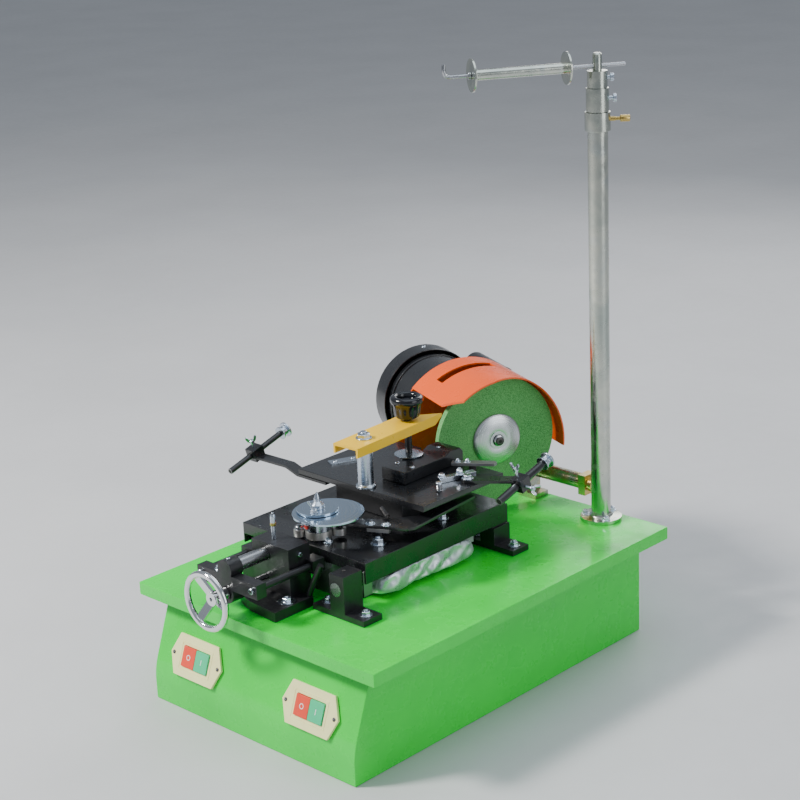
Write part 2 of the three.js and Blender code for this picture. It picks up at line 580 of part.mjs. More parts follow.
function motorStand() {
  const z0 = PLATE.top + GAP;
  const base = boxSolid(-24, 8, 256, 284, z0, z0 + 7);
  const ear = boxSolid(-20, -8, 262, 286, z0, PIVOT.z + 14);
  const rib = boxSolid(-24, -8, 256, 266, z0, PIVOT.z - 6);
  const block = boxSolid(80, 92, 263, 286, PIVOT.z - 15, PIVOT.z + 14);
  const shaft = rod('x', PIVOT.x0, PIVOT.x1, [PIVOT.y, PIVOT.z], PIVOT.r);
  part('motor_stand', join(base, ear, rib, block, shaft), metal(0xc9a94a, 0.35));
}

// ---------- mast ----------
function mast() {
  const { x, y, r, bore, top } = MAST;
  const z0 = PLATE.top + GAP;
  const tube = turnedZ([
    [bore, z0], [29, z0], [29, z0 + 5], [r + 3, z0 + 6], [r, z0 + 10], [r, top], [17, top + 0.4], [17, 721],
    [bore, 721], [bore, z0],
  ]);
  part('mast_tube', tube.translate(x, y, 0), metal(0xb9bfbc, 0.35));
  const inner = turnedZ([[0, 430], [bore - GAP, 430], [bore - GAP, 721.3], [15, 721.3], [15, 752], [0, 752]]);
  part('mast_extension', inner.translate(x, y, 0), metal(0xb9bfbc, 0.35));

  const group = placed([x, y, 0], [0, 0, CROSS.turn]);
  const headShape = solid(turnedZ([
    [0, 752.3], [13.3, 752.3], [13.3, 774], [6.2, 774], [6.2, 795], [4.5, 797], [0, 797],
  ]));
  const rodHole = rod('x', -30, 30, [0, CROSS.z], CROSS.r + GAP, SMALL);
  part('mast_head', cut(headShape, rodHole), metal(0xb9bfbc, 0.35), group);
  const bend = [[0, 0], [-12, 0], [-17, 2], [-19, 8], [-19, 16]];
  const hook = new THREE.CatmullRomCurve3(bend.map(([a, b]) => new THREE.Vector3(a, 0, b)));
  const section = new THREE.Shape();
  section.absarc(0, 0, CROSS.r, 0, Math.PI * 2, false);
  const bent = new THREE.ExtrudeGeometry(section, { steps: 12, extrudePath: hook, curveSegments: 5, bevelEnabled: false });
  const bar = rod('x', -CROSS.far + 0.5, CROSS.near, [0, CROSS.z], CROSS.r, 10);
  const crossRod = join(bar, solid(bent.translate(-CROSS.far + 1, 0, CROSS.z)));
  part('cross_rod', crossRod, metal(0xb9bcbe, 0.3), group);
  const { near, far, tube: tubeR, bore: reelBore, disc, discThick } = REEL;
  const spool = turnedX([
    [reelBore, -far], [disc, -far], [disc, -far + discThick], [tubeR, -far + discThick], [tubeR, -near - discThick],
    [disc, -near - discThick], [disc, -near], [reelBore, -near], [reelBore, -far],
  ]);
  part('hanging_roller', spool.translate(0, 0, CROSS.z), metal(0xc3c6c8, 0.35), group);
}

cabinet();
switchBlock('left', SWITCH.left);
switchBlock('right', SWITCH.right);
tableGuides();
table();
camSet();
feedArm();
slideBase();
infeedSlide();
vise();
clamp();
supports();
head();
motorStand();
mast();

export default machine;
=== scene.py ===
"""Looks of the band saw blade grinder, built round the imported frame. Sizes below are in millimetres."""

import json
import math

import bmesh
import bpy
from mathutils import Matrix, Vector, noise

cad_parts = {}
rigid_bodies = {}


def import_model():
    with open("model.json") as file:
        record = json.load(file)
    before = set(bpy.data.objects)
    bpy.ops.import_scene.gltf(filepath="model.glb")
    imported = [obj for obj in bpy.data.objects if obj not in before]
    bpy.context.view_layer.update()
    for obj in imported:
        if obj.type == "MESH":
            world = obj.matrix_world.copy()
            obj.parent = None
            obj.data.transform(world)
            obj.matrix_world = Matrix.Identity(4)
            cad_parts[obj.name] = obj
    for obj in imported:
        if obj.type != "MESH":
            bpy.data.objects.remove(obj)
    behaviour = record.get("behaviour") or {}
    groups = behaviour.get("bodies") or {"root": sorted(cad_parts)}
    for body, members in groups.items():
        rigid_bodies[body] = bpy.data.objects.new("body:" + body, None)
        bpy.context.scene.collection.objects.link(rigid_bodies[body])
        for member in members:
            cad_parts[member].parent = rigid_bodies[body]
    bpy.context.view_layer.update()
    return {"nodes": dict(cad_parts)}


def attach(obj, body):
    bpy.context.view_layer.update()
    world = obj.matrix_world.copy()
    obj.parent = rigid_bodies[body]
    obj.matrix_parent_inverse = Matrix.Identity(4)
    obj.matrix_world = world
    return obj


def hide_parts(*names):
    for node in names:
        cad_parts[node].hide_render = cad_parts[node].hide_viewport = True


for leftover in list(bpy.data.objects):
    bpy.data.objects.remove(leftover)

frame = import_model()
nodes = frame["nodes"]

MM = 0.001
SCENE = bpy.context.scene

# Places that repeat part.mjs, in millimetres.
HEAD_AT = Vector((-10.8, 195.8, 259.8))
HEAD_TURN = math.radians(-21.9)
SLOPE = math.atan2(34.6, 93.1)
SUPPORT_TILT = math.radians(16.5)
CLAMP_AT = Vector((-26, -48, 0))
CLAMP_TURN = math.radians(3.5)
MAST_AT = Vector((124.8, 257.3, 0))
CAM_AT = (-21, -142, 0)
CROSS_TURN = math.atan2(0.843, 0.538)
TABLE_TOP = 217.5
VISE_TOP = 259.0


# ---------------------------------------------------------------- materials
def srgb(r, g, b):
    """Linear colour from 0-255 screen values."""
    return tuple(((c / 255 + 0.055) / 1.055) ** 2.4 if c > 10 else c / 255 / 12.92 for c in (r, g, b))


class Shader:
    """A Principled material whose colour, roughness and bump come from procedural nodes in object space."""

    def __init__(self, name, metal=0.0, coat=0.0, coat_rough=0.08, sheen=0.0, ior=1.5):
        self.material = bpy.data.materials.new(name)
        self.material.use_nodes = True
        self.tree = self.material.node_tree
        self.shader = self.tree.nodes["Principled BSDF"]
        self.shader.inputs["Metallic"].default_value = metal
        self.shader.inputs["Coat Weight"].default_value = coat
        self.shader.inputs["Coat Roughness"].default_value = coat_rough
        self.shader.inputs["Sheen Weight"].default_value = sheen
        self.shader.inputs["IOR"].default_value = ior
        self.coords = self.add("ShaderNodeTexCoord").outputs["Object"]
        self.height = None

    def add(self, kind, **values):
        node = self.tree.nodes.new(kind)
        for key, value in values.items():
            setattr(node, key, value)
        return node

    def link(self, source, target):
        self.tree.links.new(source, target)

    def mapped(self, scale=(1, 1, 1), rotation=(0, 0, 0), location=(0, 0, 0)):
        node = self.add("ShaderNodeMapping")
        node.inputs["Scale"].default_value = scale
        node.inputs["Rotation"].default_value = rotation
        node.inputs["Location"].default_value = location
        self.link(self.coords, node.inputs["Vector"])
        return node.outputs["Vector"]

    def noise(self, scale, detail=3.0, rough=0.55, vector=None, distortion=0.0):
        node = self.add("ShaderNodeTexNoise")
        node.inputs["Scale"].default_value = scale
        node.inputs["Detail"].default_value = detail
        node.inputs["Roughness"].default_value = rough
        node.inputs["Distortion"].default_value = distortion
        self.link(vector or self.coords, node.inputs["Vector"])
        return node.outputs["Fac"]

    def cells(self, scale, vector=None, feature="F1"):
        node = self.add("ShaderNodeTexVoronoi", feature=feature)
        node.inputs["Scale"].default_value = scale
        self.link(vector or self.coords, node.inputs["Vector"])
        return node.outputs["Distance"]

    def radial(self, axis_point, axis):
        """Distance from an axis, as a float socket."""
        spot = self.add("ShaderNodeVectorMath", operation="SUBTRACT")
        spot.inputs[1].default_value = [c * MM for c in axis_point]
        self.link(self.coords, spot.inputs[0])
        turn = self.add("ShaderNodeVectorMath", operation="CROSS_PRODUCT")
        turn.inputs[1].default_value = axis
        self.link(spot.outputs[0], turn.inputs[0])
        size = self.add("ShaderNodeVectorMath", operation="LENGTH")
        self.link(turn.outputs[0], size.inputs[0])
        return size.outputs["Value"]

    def rings(self, axis_point, axis, per_mm=1.2, detail=4.0):
        """Turning marks: noise that changes only with the distance from an axis."""
        far = self.radial(axis_point, axis)
        node = self.add("ShaderNodeTexNoise", noise_dimensions="1D")
        node.inputs["Scale"].default_value = per_mm / MM
        node.inputs["Detail"].default_value = detail
        self.link(far, node.inputs["W"])
        return node.outputs["Fac"]

    def remap(self, socket, low, high, to_low, to_high):
        node = self.add("ShaderNodeMapRange")
        for key, value in (("From Min", low), ("From Max", high), ("To Min", to_low), ("To Max", to_high)):
            node.inputs[key].default_value = value
        self.link(socket, node.inputs["Value"])
        return node.outputs["Result"]

    def colour(self, socket, stops):
        """Base colour from a value: stops are (position, linear colour)."""
        ramp = self.add("ShaderNodeValToRGB")
        elements = ramp.color_ramp.elements
        while len(elements) < len(stops):
            elements.new(0.5)
        for element, (position, value) in zip(elements, stops):
            element.position = position
            element.color = (*value, 1)
        self.link(socket, ramp.inputs["Fac"])
        return ramp.outputs["Color"]

    def mix(self, fac, a, b):
        node = self.add("ShaderNodeMix", data_type="RGBA")
        for socket, value in ((node.inputs["Factor"], fac), (node.inputs["A"], a), (node.inputs["B"], b)):
            if isinstance(value, (int, float)):
                socket.default_value = value
            elif isinstance(value, tuple):
                socket.default_value = (*value, 1)
            else:
                self.link(value, socket)
        return node.outputs["Result"]

    def base(self, socket):
        self.link(socket, self.shader.inputs["Base Color"])
        return self

    def rough(self, socket, low, high, from_low=0.35, from_high=0.65):
        self.link(self.remap(socket, from_low, from_high, low, high), self.shader.inputs["Roughness"])
        return self

    def bump(self, socket, strength, distance_mm):
        node = self.add("ShaderNodeBump")
        node.inputs["Strength"].default_value = strength
        node.inputs["Distance"].default_value = distance_mm * MM
        self.link(socket, node.inputs["Height"])
        if self.height:
            self.link(self.height, node.inputs["Normal"])
        self.height = node.outputs["Normal"]
        self.link(self.height, self.shader.inputs["Normal"])
        return self


def shade(colour, factor):
    return tuple(min(1.0, c * factor) for c in colour)


def enamel(name, colour, rough=(0.16, 0.3), coat=0.35, peel=0.25, dust=0.06, waviness=0.6):
    """Brushed or sprayed gloss paint: faint colour drift, orange peel, dust and sheet waviness."""
    s = Shader(name, coat=coat, coat_rough=0.06)
    drift = s.noise(7, 3)
    specks = s.noise(900, 2, 0.7)
    tone = s.colour(drift, [(0.3, shade(colour, 0.9)), (0.7, shade(colour, 1.08))])
    dusty = s.remap(specks, 0.62, 0.74, 0.0, dust)
    s.base(s.mix(dusty, tone, (0.55, 0.55, 0.5)))
    s.rough(s.noise(35, 4), *rough)
    s.bump(s.noise(5, 1), waviness, 0.5)
    s.bump(s.noise(420, 2), peel, 0.05)
    return s.material


def casting(name, colour):
    s = Shader(name, coat=0.25, coat_rough=0.22)
    lumps = s.noise(160, 4, 0.6)
    s.base(s.colour(s.noise(30, 4), [(0.3, shade(colour, 0.8)), (0.62, colour), (0.75, shade(colour, 2.2))]))
    s.rough(lumps, 0.3, 0.52)
    s.bump(lumps, 0.5, 0.35)
    s.bump(s.noise(900, 2), 0.3, 0.06)
    return s.material


def bright_metal(name, colour, rough=(0.2, 0.34), stretch=(1, 1, 1), lines=300, cloud=0.12, line_bump=0.15):
    """Plated or ground metal with fine lines; stretch sets the way they run."""
    s = Shader(name, metal=1.0)
    grain = s.noise(lines, 3, 0.6, vector=s.mapped(scale=stretch))
    patches = s.noise(25, 4)
    s.base(s.colour(patches, [(0.3, shade(colour, 1 - cloud)), (0.7, shade(colour, 1 + cloud))]))
    s.rough(s.mix(0.5, grain, patches), *rough, 0.3, 0.7)
    s.bump(grain, line_bump, 0.03)
    return s.material


def passivated(name, colours, rough=(0.22, 0.36), scale=9):
    """Zinc with the yellow, green and pink clouds of passivation."""
    s = Shader(name, metal=1.0)
    clouds = s.noise(scale, 3, 0.5, distortion=0.8)
    steps = [(0.3 + 0.4 * n / (len(colours) - 1), colour) for n, colour in enumerate(colours)]
    s.base(s.colour(clouds, steps))
    s.rough(s.noise(70, 4), *rough)
    s.bump(s.noise(500, 2), 0.15, 0.04)
    return s.material


def turned_metal(name, colour, point, axis, rough=(0.22, 0.4), per_mm=1.3):
    """Metal faced on a lathe: fine rings round an axis."""
    s = Shader(name, metal=1.0)
    marks = s.rings(point, axis, per_mm)
    s.base(s.colour(marks, [(0.3, shade(colour, 0.86)), (0.7, shade(colour, 1.08))]))
    s.rough(marks, *rough)
    s.bump(marks, 0.35, 0.05)
    s.bump(s.noise(260, 3), 0.1, 0.05)
    return s.material


def abrasive(name):
    """Bonded green grit: coloured grains, each painted lighter at its centre and darker at its edge as painted
    highlight and shade, and dark pores that are painted shade.
    """
    s = Shader(name)
    grain = s.cells(900)
    coarse = s.noise(420, 3, 0.7)
    grain_highlight, middle, grain_edge_shade = srgb(150, 215, 140), srgb(108, 188, 108), srgb(70, 142, 74)
    # Painted highlight at each grain's centre, painted shade towards its edges.
    tone = s.colour(grain, [(0.05, grain_highlight), (0.35, middle), (0.75, grain_edge_shade)])
    # The dark pore spots are painted shade in the pores.
    pore_shade = s.remap(coarse, 0.6, 0.68, 0.0, 0.55)
    blotch = s.remap(s.noise(22, 3), 0.35, 0.7, 0.0, 0.25)
    s.base(s.mix(blotch, s.mix(pore_shade, tone, srgb(48, 98, 52)), srgb(132, 200, 122)))
    s.rough(coarse, 0.78, 0.98)
    s.bump(grain, 0.8, 0.35)
    s.bump(coarse, 0.5, 0.3)
    return s.material


def moulded(name, colour, rough=(0.28, 0.42), grain=0.12):
    s = Shader(name, coat=0.15, coat_rough=0.2)
    s.base(s.colour(s.noise(40, 3), [(0.3, shade(colour, 0.94)), (0.7, shade(colour, 1.05))]))
    s.rough(s.noise(90, 3), *rough)
    s.bump(s.noise(1400, 2), grain, 0.03)
    return s.material


def silver_cloth(name):
    """Aluminium-coated fabric: foil sheen over a fine plain weave, with painted shade as grey creases and a painted
    sheen as bright patches, both placed by noise.
    """
    s = Shader(name, metal=0.72, sheen=0.2)
    warp = s.add("ShaderNodeTexWave", wave_type="BANDS", bands_direction="DIAGONAL")
    warp.inputs["Scale"].default_value = 520
    warp.inputs["Distortion"].default_value = 0.6
    s.link(s.coords, warp.inputs["Vector"])
    shade_sheen_noise = s.noise(60, 5, 0.65)
    # Painted light: the darker grey stop is painted shade for creases, the brightest stop a painted sheen.
    painted_crease_shade, plain, painted_sheen = srgb(186, 192, 200), srgb(222, 226, 232), srgb(240, 242, 244)
    s.base(s.colour(shade_sheen_noise, [(0.3, painted_crease_shade), (0.6, plain), (0.8, painted_sheen)]))
    s.rough(shade_sheen_noise, 0.24, 0.42)
    s.bump(s.noise(34, 2, 0.5, distortion=1.6), 0.3, 0.9)
    s.bump(warp.outputs["Fac"], 0.12, 0.05)
    return s.material


GREEN = enamel("green_enamel", srgb(4, 222, 56), rough=(0.22, 0.34), coat=0.1, dust=0.01)
BLACK = enamel("black_enamel", srgb(22, 23, 26), rough=(0.2, 0.38), coat=0.4, peel=0.35, dust=0.08)
YELLOW = enamel("yellow_enamel", srgb(255, 198, 0), rough=(0.25, 0.38), coat=0.1, dust=0.01)
ORANGE = enamel("orange_enamel", srgb(255, 92, 14), rough=(0.2, 0.32), coat=0.12, dust=0.01)
RED_PAINT = enamel("red_enamel", srgb(222, 44, 30), rough=(0.25, 0.4), coat=0.3)
CASTING = casting("black_casting", srgb(24, 24, 27))
ROD_Y = bright_metal("ground_steel_lengthways", srgb(176, 178, 180), stretch=(6, 0.12, 6), lines=180)
STEEL = bright_metal("ground_steel", srgb(176, 178, 182), rough=(0.18, 0.32))
SATIN = bright_metal("satin_steel", srgb(212, 210, 206), rough=(0.36, 0.52), cloud=0.06)
ZINC = bright_metal("bright_zinc", srgb(196, 206, 218), rough=(0.16, 0.34), lines=420, cloud=0.1)
DARK_STEEL = bright_metal("oiled_steel_and_recess_shade", srgb(86, 84, 84), rough=(0.3, 0.5), lines=500)
SHEET = bright_metal("plain_sheet", srgb(150, 150, 150), rough=(0.35, 0.55), stretch=(0.1, 6, 6))
CHROME = bright_metal(
    "polished_chrome", srgb(226, 228, 230), rough=(0.04, 0.13), lines=60, cloud=0.03, line_bump=0.02
)
MAST = passivated(
    "galvanised_tube", [srgb(176, 184, 176), srgb(206, 208, 196), srgb(184, 192, 190)], (0.16, 0.3), 14
)
PASSIVE = passivated(
    "yellow_zinc", [srgb(196, 160, 70), srgb(214, 190, 120), srgb(168, 176, 160), srgb(206, 150, 96)]
)
BRASSY = passivated("brassy_zinc", [srgb(206, 180, 110), srgb(190, 160, 90)], scale=60)
ALUMINIUM = casting("cast_aluminium_look", srgb(150, 152, 154))
HEAD_AXIS = (math.cos(HEAD_TURN), math.sin(HEAD_TURN), 0)
FLANGE = turned_metal("turned_flange", srgb(208, 212, 214), HEAD_AT, HEAD_AXIS)
DISC = turned_metal("turned_disc", srgb(190, 208, 226), CAM_AT, (0, 0, 1), rough=(0.14, 0.26), per_mm=0.8)
GRIT = abrasive("green_grit")
CREAM = moulded("cream_plastic", srgb(255, 250, 180))
RED = moulded("red_plastic", srgb(238, 74, 50))
JADE = moulded("green_plastic", srgb(48, 204, 142))
PHENOLIC = moulded("black_phenolic", srgb(16, 18, 24), rough=(0.1, 0.2), grain=0.05)
RUBBER_AND_HOLE_SHADE = moulded("black_rubber", srgb(26, 26, 26), rough=(0.6, 0.8), grain=0.5)
MARK = moulded("white_mark", srgb(244, 244, 240))
SILVER = silver_cloth("silver_cloth")

LOOKS = {
    GREEN: "base_cabinet top_plate",
    SHEET: "bottom_plate",
    RUBBER_AND_HOLE_SHADE: "cable_gland",
    CREAM: "switch_left switch_right",
    RED: "stop_button_left stop_button_right",
    JADE: "start_button_left start_button_right",
    CASTING: "bracket_front_left bracket_front_right bracket_back_left bracket_back_right slide_base"
    " slide_yoke vise_base motor_mount",
    ROD_Y: "guide_rod_left guide_rod_right quill feed_screw",
    PASSIVE: "motor_stand",
    MAST: "mast_tube mast_extension mast_head hanging_roller",
    STEEL: "cross_rod arbor",
    SATIN: "cam_ring feed_arm_roller follower_roller",
    BLACK: "table_plate vise_plate support_arm_left support_arm_right jaw_block feed_arm support_rod_left"
    " support_rod_right motor_body fan_cover",
    ALUMINIUM: "slide_bearing_left slide_bearing_right feed_gearmotor",
    SILVER: "dust_cover",
    ZINC: "clamp_post tooth_finger cam_shaft clamp_pad support_roller_left support_roller_right",
    DISC: "cam_disc_large cam_disc_small",
    CHROME: "handwheel",
    YELLOW: "clamp_arm",
    PHENOLIC: "clamp_knob",
    ORANGE: "wheel_guard",
    GRIT: "grinding_wheel",
    FLANGE: "wheel_flange",
}
BEVELS = {
    "base_cabinet": 2.2, "top_plate": 1.6, "switch_left": 0.9, "switch_right": 0.9, "table_plate": 1.0,
    "vise_plate": 0.9, "jaw_block": 1.4, "slide_base": 2.0, "slide_yoke": 1.6, "bracket_front_left": 1.4,
    "bracket_front_right": 1.4, "bracket_back_left": 1.4, "bracket_back_right": 1.4, "handwheel": 1.0,
    "clamp_arm": 0.7, "motor_body": 2.0, "fan_cover": 1.0, "grinding_wheel": 0.6, "vise_base": 1.5,
    "motor_mount": 1.5, "wheel_guard": 0.5, "motor_stand": 1.0,
}
SMALLEST_BEVEL = 0.35


# ---------------------------------------------------------------- smoothing of the CAD nodes
def tidy_group():
    """Geometry nodes: merge the loose triangles and drop the imported normals."""
    group = bpy.data.node_groups.new("merge_faces", "GeometryNodeTree")
    group.interface.new_socket("Geometry", in_out="INPUT", socket_type="NodeSocketGeometry")
    group.interface.new_socket("Geometry", in_out="OUTPUT", socket_type="NodeSocketGeometry")
    start = group.nodes.new("NodeGroupInput")
    last = start.outputs["Geometry"]
    for name in ("custom_normal", "sharp_face", "sharp_edge"):
        drop = group.nodes.new("GeometryNodeRemoveAttribute")
        drop.inputs["Name"].default_value = name
        group.links.new(last, drop.inputs["Geometry"])
        last = drop.outputs["Geometry"]
    merge = group.nodes.new("GeometryNodeMergeByDistance")
    merge.inputs["Distance"].default_value = 0.00001
    group.links.new(last, merge.inputs["Geometry"])
    end = group.nodes.new("NodeGroupOutput")
    group.links.new(merge.outputs["Geometry"], end.inputs["Geometry"])
    return group


def smooth_group(degrees):
    """Geometry nodes: smooth shading, with edges sharper than the angle kept sharp."""
    group = bpy.data.node_groups.new("smooth_by_angle", "GeometryNodeTree")
    group.interface.new_socket("Geometry", in_out="INPUT", socket_type="NodeSocketGeometry")
    group.interface.new_socket("Geometry", in_out="OUTPUT", socket_type="NodeSocketGeometry")
    start = group.nodes.new("NodeGroupInput")
    angle = group.nodes.new("GeometryNodeInputMeshEdgeAngle")
    sharp = group.nodes.new("FunctionNodeCompare")
    sharp.operation = "GREATER_THAN"
    sharp.inputs["B"].default_value = math.radians(degrees)
    faces = group.nodes.new("GeometryNodeSetShadeSmooth")
    faces.domain = "FACE"
    edges = group.nodes.new("GeometryNodeSetShadeSmooth")
    edges.domain = "EDGE"
    edges.inputs["Shade Smooth"].default_value = False
    end = group.nodes.new("NodeGroupOutput")
    group.links.new(angle.outputs["Unsigned Angle"], sharp.inputs["A"])
    group.links.new(start.outputs["Geometry"], faces.inputs["Geometry"])
    group.links.new(faces.outputs["Geometry"], edges.inputs["Geometry"])
    group.links.new(sharp.outputs["Result"], edges.inputs["Selection"])
    group.links.new(edges.outputs["Geometry"], end.inputs["Geometry"])
    return group


MERGE = tidy_group()
SMOOTH = smooth_group(38)


def soften(obj, width):
    """Rounds an object's sharp edges by width and shades it smoothly."""
    obj.modifiers.new("merge", "NODES").node_group = MERGE
    flat = obj.modifiers.new("flat", "DECIMATE")
    flat.decimate_type = "DISSOLVE"
    flat.angle_limit = math.radians(0.4)
    bevel = obj.modifiers.new("bevel", "BEVEL")
    bevel.width = width * MM
    bevel.segments = 2
    bevel.limit_method = "ANGLE"
    bevel.angle_limit = math.radians(38)
    bevel.miter_outer = "MITER_ARC"
    obj.modifiers.new("smooth", "NODES").node_group = SMOOTH
    weighted = obj.modifiers.new("weighted", "WEIGHTED_NORMAL")
    weighted.keep_sharp = True


for look, names in LOOKS.items():
    for name in names.split():
        node = nodes[name]
        node.data.materials.clear()
        node.data.materials.append(look)
        soften(node, BEVELS.get(name, SMALLEST_BEVEL))


# ---------------------------------------------------------------- pieces in mesh code
def facing(at, axis, spin=0.0):
    """Matrix that puts local +Z on an axis at a point, in millimetres."""
    turn = Vector(axis).normalized().to_track_quat("Z", "Y").to_matrix().to_4x4()
    return Matrix.Translation(Vector(at)) @ turn @ Matrix.Rotation(spin, 4, "Z")


class Piece:
    """One mesh, gathered from solids given in millimetres."""

    def __init__(self, name):
        self.name = name
        self.bm = bmesh.new()
        self.materials = []

    def _faces(self, rings, material, closed_ends=True, cyclic=True):
        index = self.materials.index(material) if material in self.materials else len(self.materials)
        if index == len(self.materials):
            self.materials.append(material)
        loops = [[self.bm.verts.new(point * MM) for point in ring] for ring in rings]
        made = []
        count = len(loops[0])
        for a, b in zip(loops, loops[1:]):
            for n in range(count if cyclic else count - 1):
                m = (n + 1) % count
                made.append(self.bm.faces.new((a[n], a[m], b[m], b[n])))
        if closed_ends:
            made.append(self.bm.faces.new(list(reversed(loops[0]))))
            made.append(self.bm.faces.new(loops[-1]))
        for face in made:
            face.material_index = index
            face.smooth = True
        return made

    def lathe(self, profile, place, material, sides=24, lobes=None):
        """A turned solid along local +Z from [radius, height] pairs; lobes() scales the radius."""
        rings = []
        for radius, height in profile:
            ring = []
            for n in range(sides):
                a = 2 * math.pi * n / sides
                r = max(radius, 0.01) * (lobes(a, height) if lobes else 1.0)
                ring.append(place @ Vector((r * math.cos(a), r * math.sin(a), height)))
            rings.append(ring)
        self._faces(rings, material)
        return self

    def ring(self, profile, place, material, sides=32):
        """A turned solid with a hole: the profile closes on itself."""
        rings = []
        for n in range(sides):
            a = 2 * math.pi * n / sides
            rings.append([place @ Vector((r * math.cos(a), r * math.sin(a), h)) for r, h in profile])
        rings.append(rings[0])
        self._faces(rings, material, closed_ends=False)
        bmesh.ops.remove_doubles(self.bm, verts=self.bm.verts, dist=1e-7)
        return self

    def block(self, lo, hi, place, material):
        (x0, y0, z0), (x1, y1, z1) = lo, hi
        low = [(x0, y0), (x1, y0), (x1, y1), (x0, y1)]
        self.slab(low, z0, z1, place, material)
        return self

    def slab(self, outline, z0, z1, place, material):
        """A flat outline (anticlockwise) raised between two heights."""
        rings = [[place @ Vector((x, y, z)) for x, y in outline] for z in (z0, z1)]
        self._faces(rings, material)
        return self

    def tube(self, points, radius, material, sides=12):
        """A round bar along points; radius may change along it."""
        points = [Vector(p) for p in points]
        radii = radius if isinstance(radius, (list, tuple)) else [radius] * len(points)
        side = None
        rings = []
        for n, point in enumerate(points):
            ahead = points[min(n + 1, len(points) - 1)] - points[max(n - 1, 0)]
            ahead.normalize()
            if side is None:
                side = ahead.orthogonal().normalized()
            side = (side - ahead * side.dot(ahead)).normalized()
            other = ahead.cross(side)
            rings.append([
                point + (side * math.cos(a) + other * math.sin(a)) * radii[n]
                for a in (2 * math.pi * k / sides for k in range(sides))
            ])
        self._faces(rings, material)
        return self

    def hexagon(self, place, across, height, material, dome=0.6):
        """A hexagon head or nut with a chamfered top."""
        r = across / math.sqrt(3)
        self.lathe([[r, 0], [r, height - dome], [r * 0.88, height]], place, material, sides=6)
        return self

    def washer(self, place, radius, thick, material, sides=24):
        profile = [[radius, 0], [radius, thick * 0.7], [radius - thick * 0.3, thick]]
        self.lathe(profile, place, material, sides)
        return self

    def bolt(self, at, axis, across, height, washer=None, material=None, stud=0.0, spin=0.2):
        """A hexagon head on a washer, with an optional stud end standing out of it."""
        material = material or ZINC
        place = facing(at, axis, spin)
        lift = 0.0
        if washer:
            self.washer(place, washer, 1.4, ZINC)
            lift = 1.35
        self.hexagon(place @ Matrix.Translation((0, 0, lift)), across, height, material)
        if stud:
            r = across * 0.29
            self.thread(place @ Matrix.Translation((0, 0, lift + height - 0.2)), r, stud, material)
        return self

    def thread(self, place, radius, length, material, pitch=1.25):
        """A threaded stud as fine rings."""
        turns = max(2, int(length / pitch))
        profile = []
        for n in range(turns):
            z = length * n / turns
            profile += [[radius * 0.9, z], [radius, z + length / turns * 0.5]]
        profile += [[radius * 0.9, length - 0.3], [radius * 0.7, length]]
        self.lathe(profile, place, material, sides=14)
        return self

    def socket(self, at, axis, radius, height, material=None, spin=0.0):
        """A cap screw: a round head with a hexagon socket."""
        material = material or ZINC
        place = facing(at, axis, spin)
        self.lathe([[radius, 0], [radius, height - 0.5], [radius - 0.5, height]], place, material, sides=20)
        # The socket is a flat dark hexagon on the head: painted shade for the recess.
        self.lathe([[radius * 0.5, height - 0.05], [radius * 0.5, height + 0.05]], place, DARK_STEEL, sides=6)
        return self

    def dome(self, at, axis, radius, height, material=None, slot=False, spin=0.0):
        """A round-headed screw, with a cross or slot."""
        material = material or ZINC
        place = facing(at, axis, spin)
        steps = [[radius, 0]] + [
            [radius * math.cos(t), height * math.sin(t)] for t in (0.25, 0.55, 0.85, 1.15, 1.4)
        ]
        self.lathe(steps, place, material, sides=20)
        # The cross slot is two dark bars laid on the head, not cut in: painted shade for the recess.
        if slot:
            top = height * 0.99
            long, short = radius * 0.62, radius * 0.1
            for x, y in ((long, short), (short, long)):
                self.block((-x, -y, top - 0.3), (x, y, top + 0.06), place, DARK_STEEL)
        return self

    def wing_screw(self, at, axis, stem=8.0, span=9.0, material=None, spin=0.0):
        """A wing screw: a threaded stem, a hub and two ears."""
        material = material or ZINC
        place = facing(at, axis, spin)
        self.thread(place, 2.0, stem, material)
        hub = place @ Matrix.Translation((0, 0, stem - 0.5))
        self.lathe([[3.4, 0], [3.6, 2], [3.0, 5], [1.6, 6]], hub, material, sides=16)
        for sign in (-1, 1):
            ear = [(2.0, 1.0), (span * 0.75, 4.0), (span, 9.0), (span * 0.9, 11.5), (span * 0.62, 10.5), (2.2, 5.0)]
            ear = [(sign * x, z) for x, z in ear]
            if sign < 0:
                ear.reverse()
            upright = hub @ Matrix.Rotation(math.pi / 2, 4, "X")
            self.slab(ear, -1.1, 1.1, upright, material)
        return self

    def done(self, body, bevel=0.25, sharp=40):
        """Makes the object, gives it its materials and rides it on its body."""
        bmesh.ops.recalc_face_normals(self.bm, faces=self.bm.faces)
        limit = math.radians(sharp)
        for edge in self.bm.edges:
            if len(edge.link_faces) == 2 and edge.calc_face_angle(0) > limit:
                edge.smooth = False
        mesh = bpy.data.meshes.new(self.name)
        self.bm.to_mesh(mesh)
        self.bm.free()
        for material in self.materials:
            mesh.materials.append(material)
        obj = bpy.data.objects.new(self.name, mesh)
        SCENE.collection.objects.link(obj)
        if bevel:
            rounding = obj.modifiers.new("bevel", "BEVEL")
            rounding.width = bevel * MM
            rounding.segments = 2
            rounding.limit_method = "ANGLE"
            rounding.angle_limit = math.radians(sharp)
            rounding.harden_normals = True
        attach(obj, body)
        return obj


UP = (0, 0, 1)
IDENTITY = Matrix.Identity(4)
UPRIGHT = Matrix.Rotation(math.pi / 2, 4, "X")
SIDEWAYS = Matrix.Rotation(math.pi / 2, 4, "Y")


# ---------------------------------------------------------------- cabinet, switches
def slope_place(x, z, lift=0.0):
    """Frame on the sloped switch face: local X along it, local Z out of it."""
    y = -263 - (136.3 - z) * math.tan(SLOPE)
    leaning = Matrix.Rotation(-SLOPE, 4, "X") @ UPRIGHT
    base = Matrix.Translation((x, y, z)) @ leaning
    return base @ Matrix.Translation((0, 0, lift))


